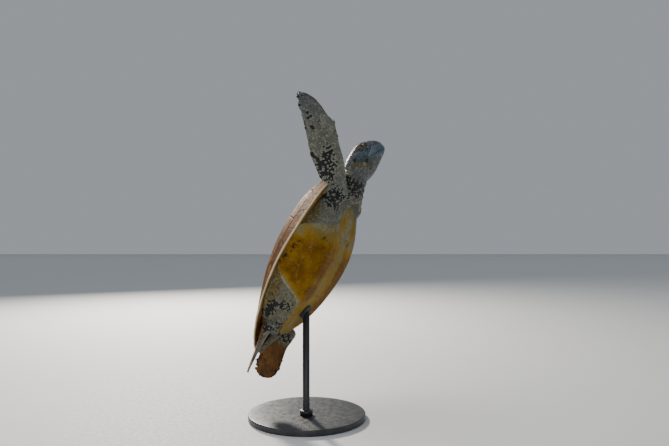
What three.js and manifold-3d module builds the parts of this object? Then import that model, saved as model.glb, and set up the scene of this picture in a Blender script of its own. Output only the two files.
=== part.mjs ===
// Loggerhead sea turtle, life size, swimming head-up and banked on a plain display stand.
// Millimetres, +Z up. The origin is the centre of the stand base's underside.
// The turtle is modelled level in its own frame, X forward, Y to its left and Z out of its back,
// with its origin in the middle of the shell at the height of the rim, and is then posed as a whole.
import * as THREE from "three";
import { ParametricGeometry } from "three/addons/geometries/ParametricGeometry.js";
import { mergeVertices } from "three/addons/utils/BufferGeometryUtils.js";
import Module from "manifold-3d";

const wasm = await Module();
wasm.setup();

// Pose on the stand
const PITCH_UP = 58.8;
const ROLL = -27;
const HEADING = 7.7;
const SHELL_HEIGHT = 632;

// Shell
const SHELL_LENGTH = 800;
const SHELL_HALF_WIDTH = 303;
const WIDEST_POWER = 0.73;
const OUTLINE_FULLNESS = 0.605;
const DOME_HEIGHT = 139;
const DOME_CREST_POWER = 0.63;
const DOME_FULLNESS = 1.05;
const DOME_ROUNDNESS = [2.4, 1.1];
const SHELL_THICKNESS = 14;
const KEEL_HEIGHT = 5;
const KEEL_HALF_WIDTH = 0.12;
const PLASTRON_THICKNESS = 12;
const PLASTRON_FRONT = 0.1;
const PLASTRON_REAR = 0.875;
const RIM_LIFT = [[0, 24], [0.3, 0], [0.6, 6], [0.8, 4], [1, -6]];
const BELLY_DEPTH = [[0, 14], [0.1, 37], [0.25, 79], [0.45, 111], [0.68, 105], [0.86, 66], [1, 16]];
const BELLY_SHARE = [[0, 0.97], [0.3, 1], [0.5, 0.97], [0.66, 0.74], [0.82, 0.36], [0.93, 0.14], [1, 0.05]];
const PLASTRON_HALF_WIDTH = [
  [0, 0], [0.02, 38], [0.07, 74], [0.14, 108], [0.2, 142], [0.25, 210], [0.31, 274], [0.4, 288],
  [0.48, 284], [0.56, 272], [0.62, 256], [0.68, 214], [0.74, 138], [0.84, 100], [0.93, 66], [0.98, 36], [1, 0],
];

// Head, in shares of its length from the back of the skull to the beak
const HEAD_LENGTH = 186;
const HEAD_PLACE = new THREE.Vector3(400, -3, 19);
const HEAD_YAW = -14;
const HEAD_PITCH = -10;
const HEAD_HALF_WIDTH = [
  [0, 0], [0.03, 0.19], [0.1, 0.29], [0.22, 0.35], [0.36, 0.362], [0.5, 0.342],
  [0.62, 0.308], [0.74, 0.264], [0.85, 0.214], [0.93, 0.155], [0.98, 0.083], [1, 0],
];
const HEAD_CROWN = [
  [0, 0], [0.03, 0.17], [0.1, 0.255], [0.25, 0.31], [0.45, 0.335], [0.62, 0.342],
  [0.74, 0.318], [0.84, 0.25], [0.92, 0.17], [0.975, 0.095], [1, 0],
];
const HEAD_CHIN = [
  [0, 0], [0.03, 0.155], [0.1, 0.245], [0.25, 0.295], [0.45, 0.295], [0.6, 0.27],
  [0.75, 0.235], [0.86, 0.2], [0.94, 0.155], [0.98, 0.1], [1, 0],
];
const HEAD_AXIS = [[0, 0], [0.5, 0.01], [0.8, -0.006], [1, -0.031]];
const HEAD_SQUARENESS = 2.5;
const EYE_RADIUS = 15.5;
const EYE_PLACE = [0.745, 0.18, 0.15];
const MOUTH_LINE = [[1.2, -0.22], [0.95, -0.19], [0.8, -0.16], [0.62, -0.115]];
const UPPER_BEAK_TOP = [[0.64, -0.08], [0.78, -0.035], [0.9, 0.045], [1.2, 0.08]];
const LOWER_BEAK_BASE = [[0.66, -0.17], [0.8, -0.23], [0.95, -0.28], [1.2, -0.32]];
const BEAK_PROUD = 1.2;

// Neck, from inside the trunk to inside the head
const NECK_STATIONS = [
  [0, 250, 0, -24, 116, 52], [0.4, 320, 0, -12, 98, 52], [0.75, 378, -4, 6, 78, 52],
  [1, 426, -9, 12, 58, 48],
];

// Trunk flesh: place along the body, height of the middle, half width, half height, and how much
// higher its back is than its belly, so that it fills the dome
const TRUNK_STATIONS = [
  [0, -322, -24, 0, 0], [0.04, -308, -20, 60, 26], [0.14, -264, -18, 128, 48], [0.3, -180, -4, 204, 78],
  [0.5, -20, 10, 244, 100], [0.7, 130, 8, 246, 94], [0.82, 215, -6, 214, 72], [0.92, 278, -12, 176, 58],
  [0.975, 322, -16, 112, 42], [1, 342, -17, 0, 0],
];
const TRUNK_BACK = 1.6;

// Flippers: share of the length, reach of the leading edge, reach of the trailing edge, half thickness
const FRONT_LENGTH = 488;
const FRONT_BLADE = [
  [0, 18, 18, 16], [0.04, 46, 42, 34], [0.12, 56, 50, 40], [0.24, 68, 34, 32], [0.36, 77, 33, 25],
  [0.48, 80, 37, 20], [0.6, 86, 30, 17], [0.67, 87, 26, 15], [0.74, 73, 23, 12], [0.84, 60, 17, 9],
  [0.92, 42, 18, 6.5], [0.97, 21, 13, 4.5], [1, 0, 6, 2],
];
const FRONT_ROOT = new THREE.Vector3(264, -136, -32);
const FRONT_DIRECTION = new THREE.Vector3(0.5, -0.768, 0.42);
const FRONT_LEADING = new THREE.Vector3(0.82, 0.27, -0.505);
const LEFT_FRONT_ROOT = new THREE.Vector3(264, 136, -18);
const LEFT_FRONT_DIRECTION = new THREE.Vector3(0.48, 0.66, 0.58);
const LEFT_FRONT_LEADING = new THREE.Vector3(0.85, -0.35, -0.3);
const HIND_BLADE = [
  [0, 14, 14, 14], [0.05, 34, 34, 30], [0.18, 38, 44, 27], [0.35, 34, 50, 17], [0.55, 42, 57, 11],
  [0.75, 50, 59, 7.5], [0.88, 44, 51, 5.5], [0.96, 26, 34, 4], [1, 0, 12, 2],
];
const RIGHT_HIND_LENGTH = 226;
const LEFT_HIND_LENGTH = 250;
const RIGHT_HIND_ROOT = new THREE.Vector3(-252, -104, -26);
const RIGHT_HIND_DIRECTION = new THREE.Vector3(-0.97, -0.08, -0.17);
const RIGHT_HIND_LEADING = new THREE.Vector3(0, -0.925, -0.374);
const LEFT_HIND_ROOT = new THREE.Vector3(-262, 104, -40);
const LEFT_HIND_DIRECTION = new THREE.Vector3(-0.985, 0.15, 0.03);
const LEFT_HIND_LEADING = new THREE.Vector3(0.02, 0.25, -0.968);

// Tail
const TAIL_STATIONS = [
  [0, -236, 0, -52, 30, 26], [0.35, -300, 0, -42, 24, 20], [0.7, -360, 0, -28, 15, 12],
  [0.93, -402, 0, -16, 8, 7], [1, -414, 0, -12, 0, 0],
];

// Claws: two on each flipper's leading edge, share of the flipper's length and the claw's length
const FRONT_CLAWS = [[0.66, 17], [0.55, 12]];
const HIND_CLAWS = [[0.72, 13], [0.58, 10]];
const CLAW_LEAN = 68;

// Stand
const BASE_RADIUS = 240;
const BASE_HEIGHT = 24;
const BASE_EDGE = 4;
const BASE_SIDES = 56;
const ROD_RADIUS = 14;
const ROD_SIDES = 24;
const PAD_RADIUS = 30;
const PAD_THICKNESS = 14;
const PAD_SIDES = 30;
const PAD_PLACE = [-168, 12];
const PAD_BITE = 3;

// Clearances: between pieces, how much more of it a steep face takes, and the height of a filled cutter
const GAP = 0.4;
const STEEP = 4;
const ABOVE = 250;

const hornYellow = { color: 0xb08a52, roughness: 0.45, metalness: 0 };
const shellBrown = { color: 0x8a4d24, roughness: 0.5, metalness: 0 };
const plastronYellow = { color: 0xcf9c48, roughness: 0.55, metalness: 0 };
const skinGrey = { color: 0x9c8f74, roughness: 0.65, metalness: 0 };
const eyeDark = { color: 0x14100c, roughness: 0.08, metalness: 0 };
const clawBrown = { color: 0x4a3626, roughness: 0.4, metalness: 0 };
const standGrey = { color: 0x35373a, roughness: 0.4, metalness: 0.8 };

const turtle = new THREE.Group();
turtle.name = "turtle_pose";
turtle.position.set(0, 0, SHELL_HEIGHT);
turtle.rotation.set(rad(ROLL), -rad(PITCH_UP), rad(HEADING), "ZYX");
turtle.updateMatrixWorld(true);

function rad(degrees) {
  return THREE.MathUtils.degToRad(degrees);
}

// Smooth curve through stations [place, value, ...], by cubics whose slopes follow the neighbours.
function along(stations, place, column = 1) {
  const last = stations.length - 1;
  const p = THREE.MathUtils.clamp(place, stations[0][0], stations[last][0]);
  const i = Math.min(stations.findLastIndex((s) => s[0] <= p), last - 1);
  const step = (k) => stations[k + 1][0] - stations[k][0];
  const rise = (k) => (stations[k + 1][column] - stations[k][column]) / step(k);
  const slope = (k) => {
    if (k === 0) return rise(0);
    if (k === last) return rise(last - 1);
    return (rise(k - 1) * step(k) + rise(k) * step(k - 1)) / (step(k - 1) + step(k));
  };
  const t = (p - stations[i][0]) / step(i);
  const from = stations[i][column] * (1 + 2 * t) + slope(i) * step(i) * t;
  const to = stations[i + 1][column] * (3 - 2 * t) - slope(i + 1) * step(i) * (1 - t);
  return from * (1 - t) ** 2 + to * t * t;
}

// Spaces the rows of a closed form closer towards both ends.
function eased(u) {
  return (1 - Math.cos(Math.PI * u)) / 2;
}

// Zero at both ends of a form, where its rings close to a point, and one between them.
function within(u) {
  return u > 0 && u < 1 ? 1 : 0;
}

// Merges a closed surface's shared corners and makes it a solid that faces out.
function solidFrom(geometry) {
  geometry.deleteAttribute("normal");
  geometry.deleteAttribute("uv");
  const merged = mergeVertices(geometry, 1e-3);
  const index = merged.index.array;
  const corners = [];
  for (let i = 0; i < index.length; i += 3) {
    const [a, b, c] = index.subarray(i, i + 3);
    if (a !== b && b !== c && c !== a) corners.push(a, b, c);
  }
  const build = (triVerts) => new wasm.Manifold(new wasm.Mesh({
    numProp: 3,
    vertProperties: merged.attributes.position.array,
    triVerts: new Uint32Array(triVerts),
  }));
  const solid = build(corners);
  return solid.volume() > 0 ? solid : build(corners.reverse());
}

function surface(shape, rows, columns) {
  const place = (v, u, target) => target.copy(shape(u, v * 2 * Math.PI));
  return solidFrom(new ParametricGeometry(place, columns, rows));
}

function largest(solid) {
  return solid.decompose().reduce((a, b) => (b.volume() > a.volume() ? b : a));
}

// Takes the neighbours out of a solid and keeps its main piece.
function without(solid, ...neighbours) {
  return largest(neighbours.reduce((rest, other) => rest.subtract(other), solid));
}

function halfWidth(s) {
  return SHELL_HALF_WIDTH * Math.sin(Math.PI * s ** WIDEST_POWER) ** OUTLINE_FULLNESS;
}

function domeHeight(s, t) {
  const arch = DOME_HEIGHT * Math.sin(Math.PI * s ** DOME_CREST_POWER) ** DOME_FULLNESS;
  const keel = KEEL_HEIGHT * Math.max(0, 1 - Math.abs(t) / KEEL_HALF_WIDTH) * Math.sin(Math.PI * s);
  const [flatness, shoulder] = DOME_ROUNDNESS;
  return along(RIM_LIFT, s) + arch * (1 - Math.abs(t) ** flatness) ** shoulder + keel;
}

function bellyHeight(s, t) {
  return along(RIM_LIFT, s) - along(BELLY_DEPTH, s) * along(BELLY_SHARE, Math.abs(t));
}

// The shell's upper half: its outer face is the dome, and its inner face lies a thickness below,
// closing to nothing at the rim. Grown by a gap, it cuts room for itself in the flesh.
function carapaceSolid(grow, filled = false) {
  const shape = (u, angle) => {
    const s = eased(u);
    const t = Math.cos(angle);
    const across = (halfWidth(s) + grow) * t * within(u);
    const front = SHELL_LENGTH / 2 - SHELL_LENGTH * s;
    const forward = front + grow * (1 - 2 * s);
    const body = (1 - t ** 8) * Math.min(1, 6 * Math.sqrt(s * (1 - s)));
    const clear = STEEP * grow;
    const inside = within(u) * (1 - t ** 60);
    const top = domeHeight(s, t);
    if (Math.sin(angle) > -1e-9) {
      const raised = top + clear * (2 * inside - 1) + (filled ? ABOVE * body : 0);
      return new THREE.Vector3(forward, across, raised);
    }
    return new THREE.Vector3(forward, across, top - SHELL_THICKNESS * body - clear);
  };
  return surface(shape, 24, 26);
}

// The belly plate with its bridges, lying on the belly surface. Filled, it is the space below it.
function plastronSolid(grow, filled = false) {
  const length = PLASTRON_REAR - PLASTRON_FRONT;
  const shape = (u, angle) => {
    const share = eased(u);
    const s = PLASTRON_FRONT + length * share;
    const t = Math.cos(angle);
    const reach = along(PLASTRON_HALF_WIDTH, share) + grow * Math.sin(Math.PI * share) ** 0.25;
    const across = reach * t;
    const forward = SHELL_LENGTH / 2 - SHELL_LENGTH * s + grow * (1 - 2 * share);
    const outer = bellyHeight(s, Math.min(1, Math.abs(across) / halfWidth(s)));
    const body = (1 - t ** 6) * Math.min(1, 5 * Math.sqrt(share * (1 - share)));
    const clear = STEEP * grow;
    const inside = within(u) * (1 - t ** 60);
    if (Math.sin(angle) > -1e-9) {
      return new THREE.Vector3(forward, across, outer + PLASTRON_THICKNESS * body + clear);
    }
    const lowered = outer - clear * (2 * inside - 1) - (filled ? ABOVE * body : 0);
    return new THREE.Vector3(forward, across, lowered);
  };
  return surface(shape, 24, 16);
}

// A round or oval body carried through stations [share, x, y, z, half width, half height]. Its upper
// half can be higher than its lower one.
function bodyAlong(stations, grow, rows, columns, back = 1) {
  const shape = (u, angle) => {
    const p = eased(u);
    const at = (column) => along(stations, p, column);
    const wide = at(4) > 0 ? at(4) + grow : 0;
    const high = at(5) > 0 ? at(5) + grow : 0;
    const closing = within(u);
    return new THREE.Vector3(
      at(1) + grow * (1 - 2 * p) * (1 - closing) * Math.sign(stations[0][1] - stations.at(-1)[1]),
      at(2) + wide * Math.cos(angle) * closing,
      at(3) + high * Math.sin(angle) * (Math.sin(angle) > 0 ? back : 1) * closing,
    );
  };
  return surface(shape, rows, columns);
}

function trunkSolid(grow) {
  const stations = TRUNK_STATIONS.map(([p, x, z, w, h]) => [p, x, 0, z, w, h]);
  return bodyAlong(stations, grow, 14, 22, TRUNK_BACK);
}

function neckSolid(grow) {
  return bodyAlong(NECK_STATIONS, grow, 8, 18);
}

function tailSolid(grow) {
  return bodyAlong(TAIL_STATIONS, grow, 9, 10);
}

// Head in its own frame, from the back of the skull at the origin to the beak along X.
function headShape(u, angle, grow) {
  const p = eased(u);
  const wide = along(HEAD_HALF_WIDTH, p) * HEAD_LENGTH;
  const rise = along(Math.sin(angle) >= 0 ? HEAD_CROWN : HEAD_CHIN, p) * HEAD_LENGTH;
  const power = 2 / HEAD_SQUARENESS;
  const round = (value) => Math.sign(value) * Math.abs(value) ** power;
  const open = within(u);
  return new THREE.Vector3(
    p * HEAD_LENGTH + grow * (2 * p - 1),
    (wide + grow) * round(Math.cos(angle)) * open,
    along(HEAD_AXIS, p) * HEAD_LENGTH + (rise + grow) * round(Math.sin(angle)) * open,
  );
}

function headSolid(grow) {
  return surface((u, angle) => headShape(u, angle, grow), 18, 20);
}

// Where the head sits on the neck.
function headPlace() {
  const turn = new THREE.Euler(0, -rad(HEAD_PITCH), rad(HEAD_YAW), "ZYX");
  return new THREE.Matrix4().makeRotationFromEuler(turn).setPosition(HEAD_PLACE);
}

function moved(solid, matrix) {
  return solid.transform(matrix.toArray());
}

// A side outline of the head, in shares of its length, as a slab across it.
function headSlab(outline, grow) {
  const points = outline.map(([x, z]) => new THREE.Vector2(x, z).multiplyScalar(HEAD_LENGTH));
  const middle = points.reduce((sum, p) => sum.add(p), new THREE.Vector2()).divideScalar(points.length);
  const outwards = (p) => p.clone().sub(middle).setLength(2 * grow);
  const grown = points.map((p) => p.clone().add(outwards(p)));
  const across = { depth: HEAD_LENGTH, bevelEnabled: false };
  const slab = new THREE.ExtrudeGeometry(new THREE.Shape(grown), across);
  slab.translate(0, 0, -HEAD_LENGTH / 2).rotateX(Math.PI / 2);
  return solidFrom(slab);
}

function upperBeakOutline() {
  return [...MOUTH_LINE, ...UPPER_BEAK_TOP];
}

function lowerBeakOutline() {
  const lowered = MOUTH_LINE.map(([x, z]) => [x, z - (2 * GAP) / HEAD_LENGTH]);
  return [...LOWER_BEAK_BASE, ...lowered];
}

function eyeSolid(side, grow) {
  const [x, y, z] = EYE_PLACE;
  const ball = new THREE.SphereGeometry(EYE_RADIUS + grow, 14, 8);
  ball.translate(x * HEAD_LENGTH, side * y * HEAD_LENGTH, z * HEAD_LENGTH);
  return solidFrom(ball);
}

// A flipper's frame: its root, its length's direction, and its leading edge's direction.
function flipperFrame(root, direction, leading) {
  const out = direction.clone().normalize();
  const fore = leading.clone().addScaledVector(out, -leading.dot(out)).normalize();
  const face = new THREE.Vector3().crossVectors(out, fore);
  return new THREE.Matrix4().makeBasis(out, fore, face).setPosition(root);
}

// A blade in its own frame, X along its length and Y to its leading edge: thick and round in front,
// thinning to the trailing edge.
function bladePoint(stations, length, u, angle, grow) {
  const p = eased(u);
  const fore = along(stations, p, 1) + grow;
  const aft = along(stations, p, 2) + grow;
  const chord = (1 + Math.cos(angle)) / 2;
  const thick = (along(stations, p, 3) + grow) * (0.4 + 0.6 * chord ** 0.8);
  const open = within(u);
  return new THREE.Vector3(
    p * length + grow * (2 * p - 1),
    (fore - aft) / 2 + ((fore + aft) / 2) * Math.cos(angle) * open,
    thick * Math.sin(angle) * open,
  );
}

function bladeSolid(stations, length, frame, grow, rows, columns) {
  const shape = (u, angle) => bladePoint(stations, length, u, angle, grow);
  return moved(surface(shape, rows, columns), frame);
}

// A claw on a blade's leading edge: a short horn cone that leans towards the tip.
function clawSolid(stations, length, frame, [share, size]) {
  const profile = [[0, -4], [5, -4], [4.4, 1], [2.6, 0.6 * size], [0, size]];
  const cone = new THREE.LatheGeometry(profile.map(([x, y]) => new THREE.Vector2(x, y)), 6);
  cone.rotateZ(-rad(CLAW_LEAN));
  cone.translate(share * length, along(stations, share, 1), 0);
  return moved(solidFrom(cone), frame);
}

function meshOf(name, solid, finish) {
  const mesh = solid.getMesh();
  const geometry = new THREE.BufferGeometry();
  geometry.setAttribute("position", new THREE.BufferAttribute(mesh.vertProperties, mesh.numProp));
  geometry.setIndex(new THREE.BufferAttribute(mesh.triVerts, 1));
  geometry.computeVertexNormals();
  const made = new THREE.Mesh(geometry, new THREE.MeshStandardMaterial(finish));
  made.name = name;
  return made;
}

function addShell() {
  turtle.add(meshOf("carapace", carapaceSolid(0), shellBrown));
  turtle.add(meshOf("plastron", plastronSolid(0), plastronYellow));
}

function addHead(neighbours) {
  const place = headPlace();
  const upper = headSlab(upperBeakOutline(), 0);
  const lower = headSlab(lowerBeakOutline(), 0);
  const proud = headSolid(BEAK_PROUD);
  const eyes = [1, -1].map((side) => eyeSolid(side, 0));
  const sockets = [1, -1].map((side) => eyeSolid(side, GAP));
  const beaks = [headSlab(upperBeakOutline(), GAP), headSlab(lowerBeakOutline(), GAP)];
  const head = without(headSolid(0), ...beaks, ...sockets);
  turtle.add(meshOf("head", without(moved(head, place), ...neighbours), skinGrey));
  turtle.add(meshOf("beak_upper", moved(largest(proud.intersect(upper)), place), hornYellow));
  turtle.add(meshOf("beak_lower", moved(largest(proud.intersect(lower)), place), hornYellow));
  turtle.add(meshOf("eye_left", moved(eyes[0], place), eyeDark));
  turtle.add(meshOf("eye_right", moved(eyes[1], place), eyeDark));
}

function addFlipper(name, blade, length, frame, claws, neighbours) {
  const [rows, columns] = length > FRONT_LENGTH / 2 ? [22, 12] : [14, 12];
  const horns = claws.map((claw) => clawSolid(blade, length, frame, claw));
  const solid = bladeSolid(blade, length, frame, 0, rows, columns);
  const grown = bladeSolid(blade, length, frame, GAP, rows, columns);
  turtle.add(meshOf("flipper_" + name, without(solid, ...neighbours), skinGrey));
  horns.forEach((horn, i) => {
    turtle.add(meshOf("claw_" + name + "_" + (i + 1), without(horn, grown), clawBrown));
  });
}

function addFlesh() {
  const shells = [carapaceSolid(GAP, true), plastronSolid(GAP, true)];
  const trunk = without(trunkSolid(0), ...shells);
  turtle.add(meshOf("trunk", trunk, skinGrey));
  const around = [...shells, trunkSolid(GAP)];
  const headRoom = moved(headSolid(GAP), headPlace());
  addHead(shells);
  const neck = without(neckSolid(0), ...around, headRoom);
  turtle.add(meshOf("neck", neck, skinGrey));
  turtle.add(meshOf("tail", without(tailSolid(0), ...around), skinGrey));
  const front = [...around, neckSolid(GAP)];
  const rear = [...around, tailSolid(GAP)];
  const rightFront = flipperFrame(FRONT_ROOT, FRONT_DIRECTION, FRONT_LEADING);
  const leftFront = flipperFrame(LEFT_FRONT_ROOT, LEFT_FRONT_DIRECTION, LEFT_FRONT_LEADING);
  const rightHind = flipperFrame(RIGHT_HIND_ROOT, RIGHT_HIND_DIRECTION, RIGHT_HIND_LEADING);
  const leftHind = flipperFrame(LEFT_HIND_ROOT, LEFT_HIND_DIRECTION, LEFT_HIND_LEADING);
  addFlipper("front_right", FRONT_BLADE, FRONT_LENGTH, rightFront, FRONT_CLAWS, front);
  addFlipper("front_left", FRONT_BLADE, FRONT_LENGTH, leftFront, FRONT_CLAWS, front);
  addFlipper("hind_right", HIND_BLADE, RIGHT_HIND_LENGTH, rightHind, HIND_CLAWS, rear);
  addFlipper("hind_left", HIND_BLADE, LEFT_HIND_LENGTH, leftHind, HIND_CLAWS, rear);
}

// Where the pad meets the belly plate, in the turtle's frame.
function padPlace() {
  const [x, y] = PAD_PLACE;
  const share = 0.5 - x / SHELL_LENGTH;
  return new THREE.Vector3(x, y, bellyHeight(share, Math.abs(y) / halfWidth(share)));
}

// The pad as a disc square to the belly, sunk a little into the plate that then shapes its top.
function padDisc(grow) {
  const { x, y, z } = padPlace();
  const disc = new THREE.CylinderGeometry(
    PAD_RADIUS + grow, PAD_RADIUS + grow, PAD_THICKNESS + 2 * grow, PAD_SIDES,
  );
  disc.rotateX(Math.PI / 2).translate(x, y, z - PAD_THICKNESS / 2 + PAD_BITE);
  return moved(solidFrom(disc), turtle.matrixWorld);
}

function basePlate() {
  const profile = [
    [0, 0], [BASE_RADIUS, 0], [BASE_RADIUS, BASE_HEIGHT - BASE_EDGE],
    [BASE_RADIUS - BASE_EDGE, BASE_HEIGHT], [0, BASE_HEIGHT],
  ];
  const plate = new THREE.LatheGeometry(profile.map(([x, y]) => new THREE.Vector2(x, y)), BASE_SIDES);
  return solidFrom(plate.rotateX(Math.PI / 2));
}

// The pad lies against the belly plate, and the rod drops from it straight to the base.
function stand() {
  const group = new THREE.Group();
  const foot = padPlace().add(new THREE.Vector3(0, 0, -PAD_THICKNESS / 2)).applyMatrix4(turtle.matrixWorld);
  const bottom = BASE_HEIGHT + GAP;
  const post = new THREE.CylinderGeometry(ROD_RADIUS, ROD_RADIUS, foot.z - bottom, ROD_SIDES);
  post.rotateX(Math.PI / 2).translate(foot.x, foot.y, (foot.z + bottom) / 2);
  const belly = moved(plastronSolid(GAP), turtle.matrixWorld);
  group.add(meshOf("stand_base", basePlate(), standGrey));
  group.add(meshOf("stand_rod", without(solidFrom(post), padDisc(GAP)), standGrey));
  group.add(meshOf("stand_pad", without(padDisc(0), belly), standGrey));
  return group;
}

addShell();
addFlesh();
const group = new THREE.Group();
group.add(turtle, stand());

export default group;
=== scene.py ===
"""Loggerhead turtle on a display stand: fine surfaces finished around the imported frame.

Lengths are metres. The turtle is shaped in its own frame, X forward, Y to its left and Z out of its
back, with the origin in the middle of the shell at rim height, and is then posed as a whole.
"""

import logging
import math
from collections.abc import Callable
from dataclasses import dataclass, field
from enum import Enum

import bpy
import numpy as np
from mathutils.bvhtree import BVHTree
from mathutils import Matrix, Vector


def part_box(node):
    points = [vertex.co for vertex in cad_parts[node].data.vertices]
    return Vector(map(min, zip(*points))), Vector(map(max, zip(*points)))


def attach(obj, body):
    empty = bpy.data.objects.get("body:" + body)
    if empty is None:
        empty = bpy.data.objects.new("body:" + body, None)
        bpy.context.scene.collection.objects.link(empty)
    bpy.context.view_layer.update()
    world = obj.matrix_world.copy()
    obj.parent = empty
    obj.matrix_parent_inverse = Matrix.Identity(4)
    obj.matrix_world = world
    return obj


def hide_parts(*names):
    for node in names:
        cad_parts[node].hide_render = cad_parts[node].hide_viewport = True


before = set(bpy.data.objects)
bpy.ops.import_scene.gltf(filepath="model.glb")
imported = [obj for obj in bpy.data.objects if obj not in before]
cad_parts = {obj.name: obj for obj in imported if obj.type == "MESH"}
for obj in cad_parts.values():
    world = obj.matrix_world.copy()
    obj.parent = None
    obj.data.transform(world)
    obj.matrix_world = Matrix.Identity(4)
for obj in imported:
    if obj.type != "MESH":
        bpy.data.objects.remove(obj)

Array = np.ndarray
Material = bpy.types.Material
Node = bpy.types.Node
Socket = bpy.types.NodeSocket
Place = tuple[float, float]
Point = tuple[float, float, float]
Stations = tuple[tuple[float, ...], ...]
Reading = Callable[[Array, Array], Array]
Shape = Callable[[Array, Array, float], Array]

LOG = logging.getLogger("turtle")
BODY = "root"
SEED = 29
NO_CORNER = -1
BAKE_MAP = "OFBake"
BAKE_PATCH = 0.0015
TURN = 2 * math.pi
GOLDEN = 0.618
STREAK_STEP = 1.37


class Slot(Enum):
    """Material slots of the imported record."""

    CARAPACE = "carapace_shell"
    PLASTRON = "plastron_shell"
    SKIN = "skin"
    BEAK = "beak_horn"
    EYE = "eye"
    CLAW = "claw_horn"
    STEEL = "stand_steel"


class Side(Enum):
    """Side of the body: +1 is the turtle's left, where Y is positive."""

    LEFT = 1
    RIGHT = -1


# ---------------------------------------------------------------- numbers and curves


def along(stations: Stations, place: Array | float, column: int = 1) -> Array:
    """Smooth curve through stations, by cubics whose slopes follow the neighbours.

    Args:
        stations: rows of a place and its values, in rising order of place.
        place: where to read the curve; beyond the ends it keeps the end value.
        column: which value of the rows.

    Returns:
        The value at each place.
    """
    table = np.asarray(stations, float)
    x, y = table[:, 0], table[:, column]
    step = np.diff(x)
    rise = np.diff(y) / step
    middle = (rise[:-1] * step[1:] + rise[1:] * step[:-1]) / (step[1:] + step[:-1])
    slope = np.concatenate(([rise[0]], middle, [rise[-1]]))
    p = np.clip(place, x[0], x[-1])
    i = np.clip(np.searchsorted(x, p, side="right") - 1, 0, len(x) - 2)
    t = (p - x[i]) / step[i]
    start = y[i] * (1 + 2 * t) + slope[i] * step[i] * t
    end = y[i + 1] * (3 - 2 * t) - slope[i + 1] * step[i] * (1 - t)
    return start * (1 - t) ** 2 + end * t**2


def eased(u: Array) -> Array:
    """Share of a form's length at u, closer together towards both ends: (1 - cos(pi u)) / 2."""
    return (1 - np.cos(math.pi * u)) / 2


def smoothstep(value: Array, low: float, high: float) -> Array:
    """Zero below low, one above high and a smooth rise between them."""
    t = np.clip((value - low) / (high - low), 0, 1)
    return t * t * (3 - 2 * t)


def unit(vectors: Array) -> Array:
    """Vectors scaled to length one."""
    return vectors / np.maximum(np.linalg.norm(vectors, axis=-1, keepdims=True), 1e-12)


def square_to(way: Array, other: Array) -> Array:
    """A direction turned until it is square to another one, in the plane of the two."""
    return unit(way - other * np.dot(way, other))


def vec(*parts: Array | float) -> Array:
    """Arrays set side by side along a new last axis, such as x, y and z."""
    return np.stack(parts, axis=-1)


def circle(count: int) -> Array:
    """Evenly spaced angles round one turn."""
    return np.linspace(0, TURN, count, endpoint=False)


def compass(angle: Array) -> Array:
    """Directions in a plane at angles, as cos and sin."""
    return vec(np.cos(angle), np.sin(angle))


def bell(value: Array, middle: float, width: float) -> Array:
    """A bell curve: e to the power of minus the square of (value - middle) / width."""
    return np.exp(-(((value - middle) / width) ** 2))


def open_ends(u: Array) -> Array:
    """One between a form's two ends and zero at them, where its rings close to points."""
    return np.where((u > 0) & (u < 1), 1.0, 0.0)


def run_of(lines: Array) -> Array:
    """Length run along lines of points, from zero at the start of each line."""
    steps = np.linalg.norm(np.diff(lines, axis=-2), axis=-1)
    return np.concatenate([np.zeros((*steps.shape[:-1], 1)), np.cumsum(steps, axis=-1)], axis=-1)


def signed_power(value: Array, power: float) -> Array:
    """Raises the size of a value to a power and keeps its sign."""
    return np.sign(value) * np.abs(value) ** power


def rotation(x: float, y: float, z: float) -> Array:
    """Turn about X, then Y, then Z, in degrees, as a 3 by 3 matrix."""
    a, b, c = (math.radians(v) for v in (x, y, z))
    about_x = [[1, 0, 0], [0, math.cos(a), -math.sin(a)], [0, math.sin(a), math.cos(a)]]
    about_y = [[math.cos(b), 0, math.sin(b)], [0, 1, 0], [-math.sin(b), 0, math.cos(b)]]
    about_z = [[math.cos(c), -math.sin(c), 0], [math.sin(c), math.cos(c), 0], [0, 0, 1]]
    return np.array(about_z) @ np.array(about_y) @ np.array(about_x)


def waves(points: Array, size: float, seed: int = 0) -> Array:
    """Smooth seeded unevenness in space, from -1 to 1: the mean of nine sine waves.

    Args:
        points: places to read, one row each.
        size: the waves' typical length.
        seed: which set of waves.

    Returns:
        One value for each point.
    """
    draw = np.random.default_rng(SEED + seed)
    directions = unit(draw.normal(size=(9, 3))) * TURN / (size * draw.uniform(0.6, 1.6, (9, 1)))
    phases = draw.uniform(0, TURN, 9)
    return np.sin(points @ directions.T + phases).mean(axis=-1) * 1.7


# ---------------------------------------------------------------- meshes


@dataclass
class Form:
    """A mesh in the making: points, faces of three or four corners, and values for each point."""

    points: Array
    faces: Array
    values: dict[str, Array] = field(default_factory=dict)

    def triangles(self) -> int:
        """How many triangles the faces make."""
        return int(((self.faces != NO_CORNER).sum(axis=1) - 2).sum())

    def facing_out(self) -> "Form":
        """The same form, with its faces turned round if the volume that they enclose is negative."""
        quad = self.points[self.faces]
        first = np.einsum("ij,ij->i", quad[:, 0], np.cross(quad[:, 1], quad[:, 2]))
        second = np.einsum("ij,ij->i", quad[:, 0], np.cross(quad[:, 2], quad[:, 3]))
        if (first + second * (self.faces[:, 3] != NO_CORNER)).sum() < 0:
            turned = self.faces[:, ::-1].copy()
            triangle = turned[:, 0] == NO_CORNER
            turned[triangle] = np.roll(turned[triangle], -1, axis=1)
            self.faces = turned
        return self


def shifted(faces: Array, by: Array | int) -> Array:
    """Faces with their points' numbers moved up."""
    return np.where(faces == NO_CORNER, NO_CORNER, faces + by)


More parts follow.
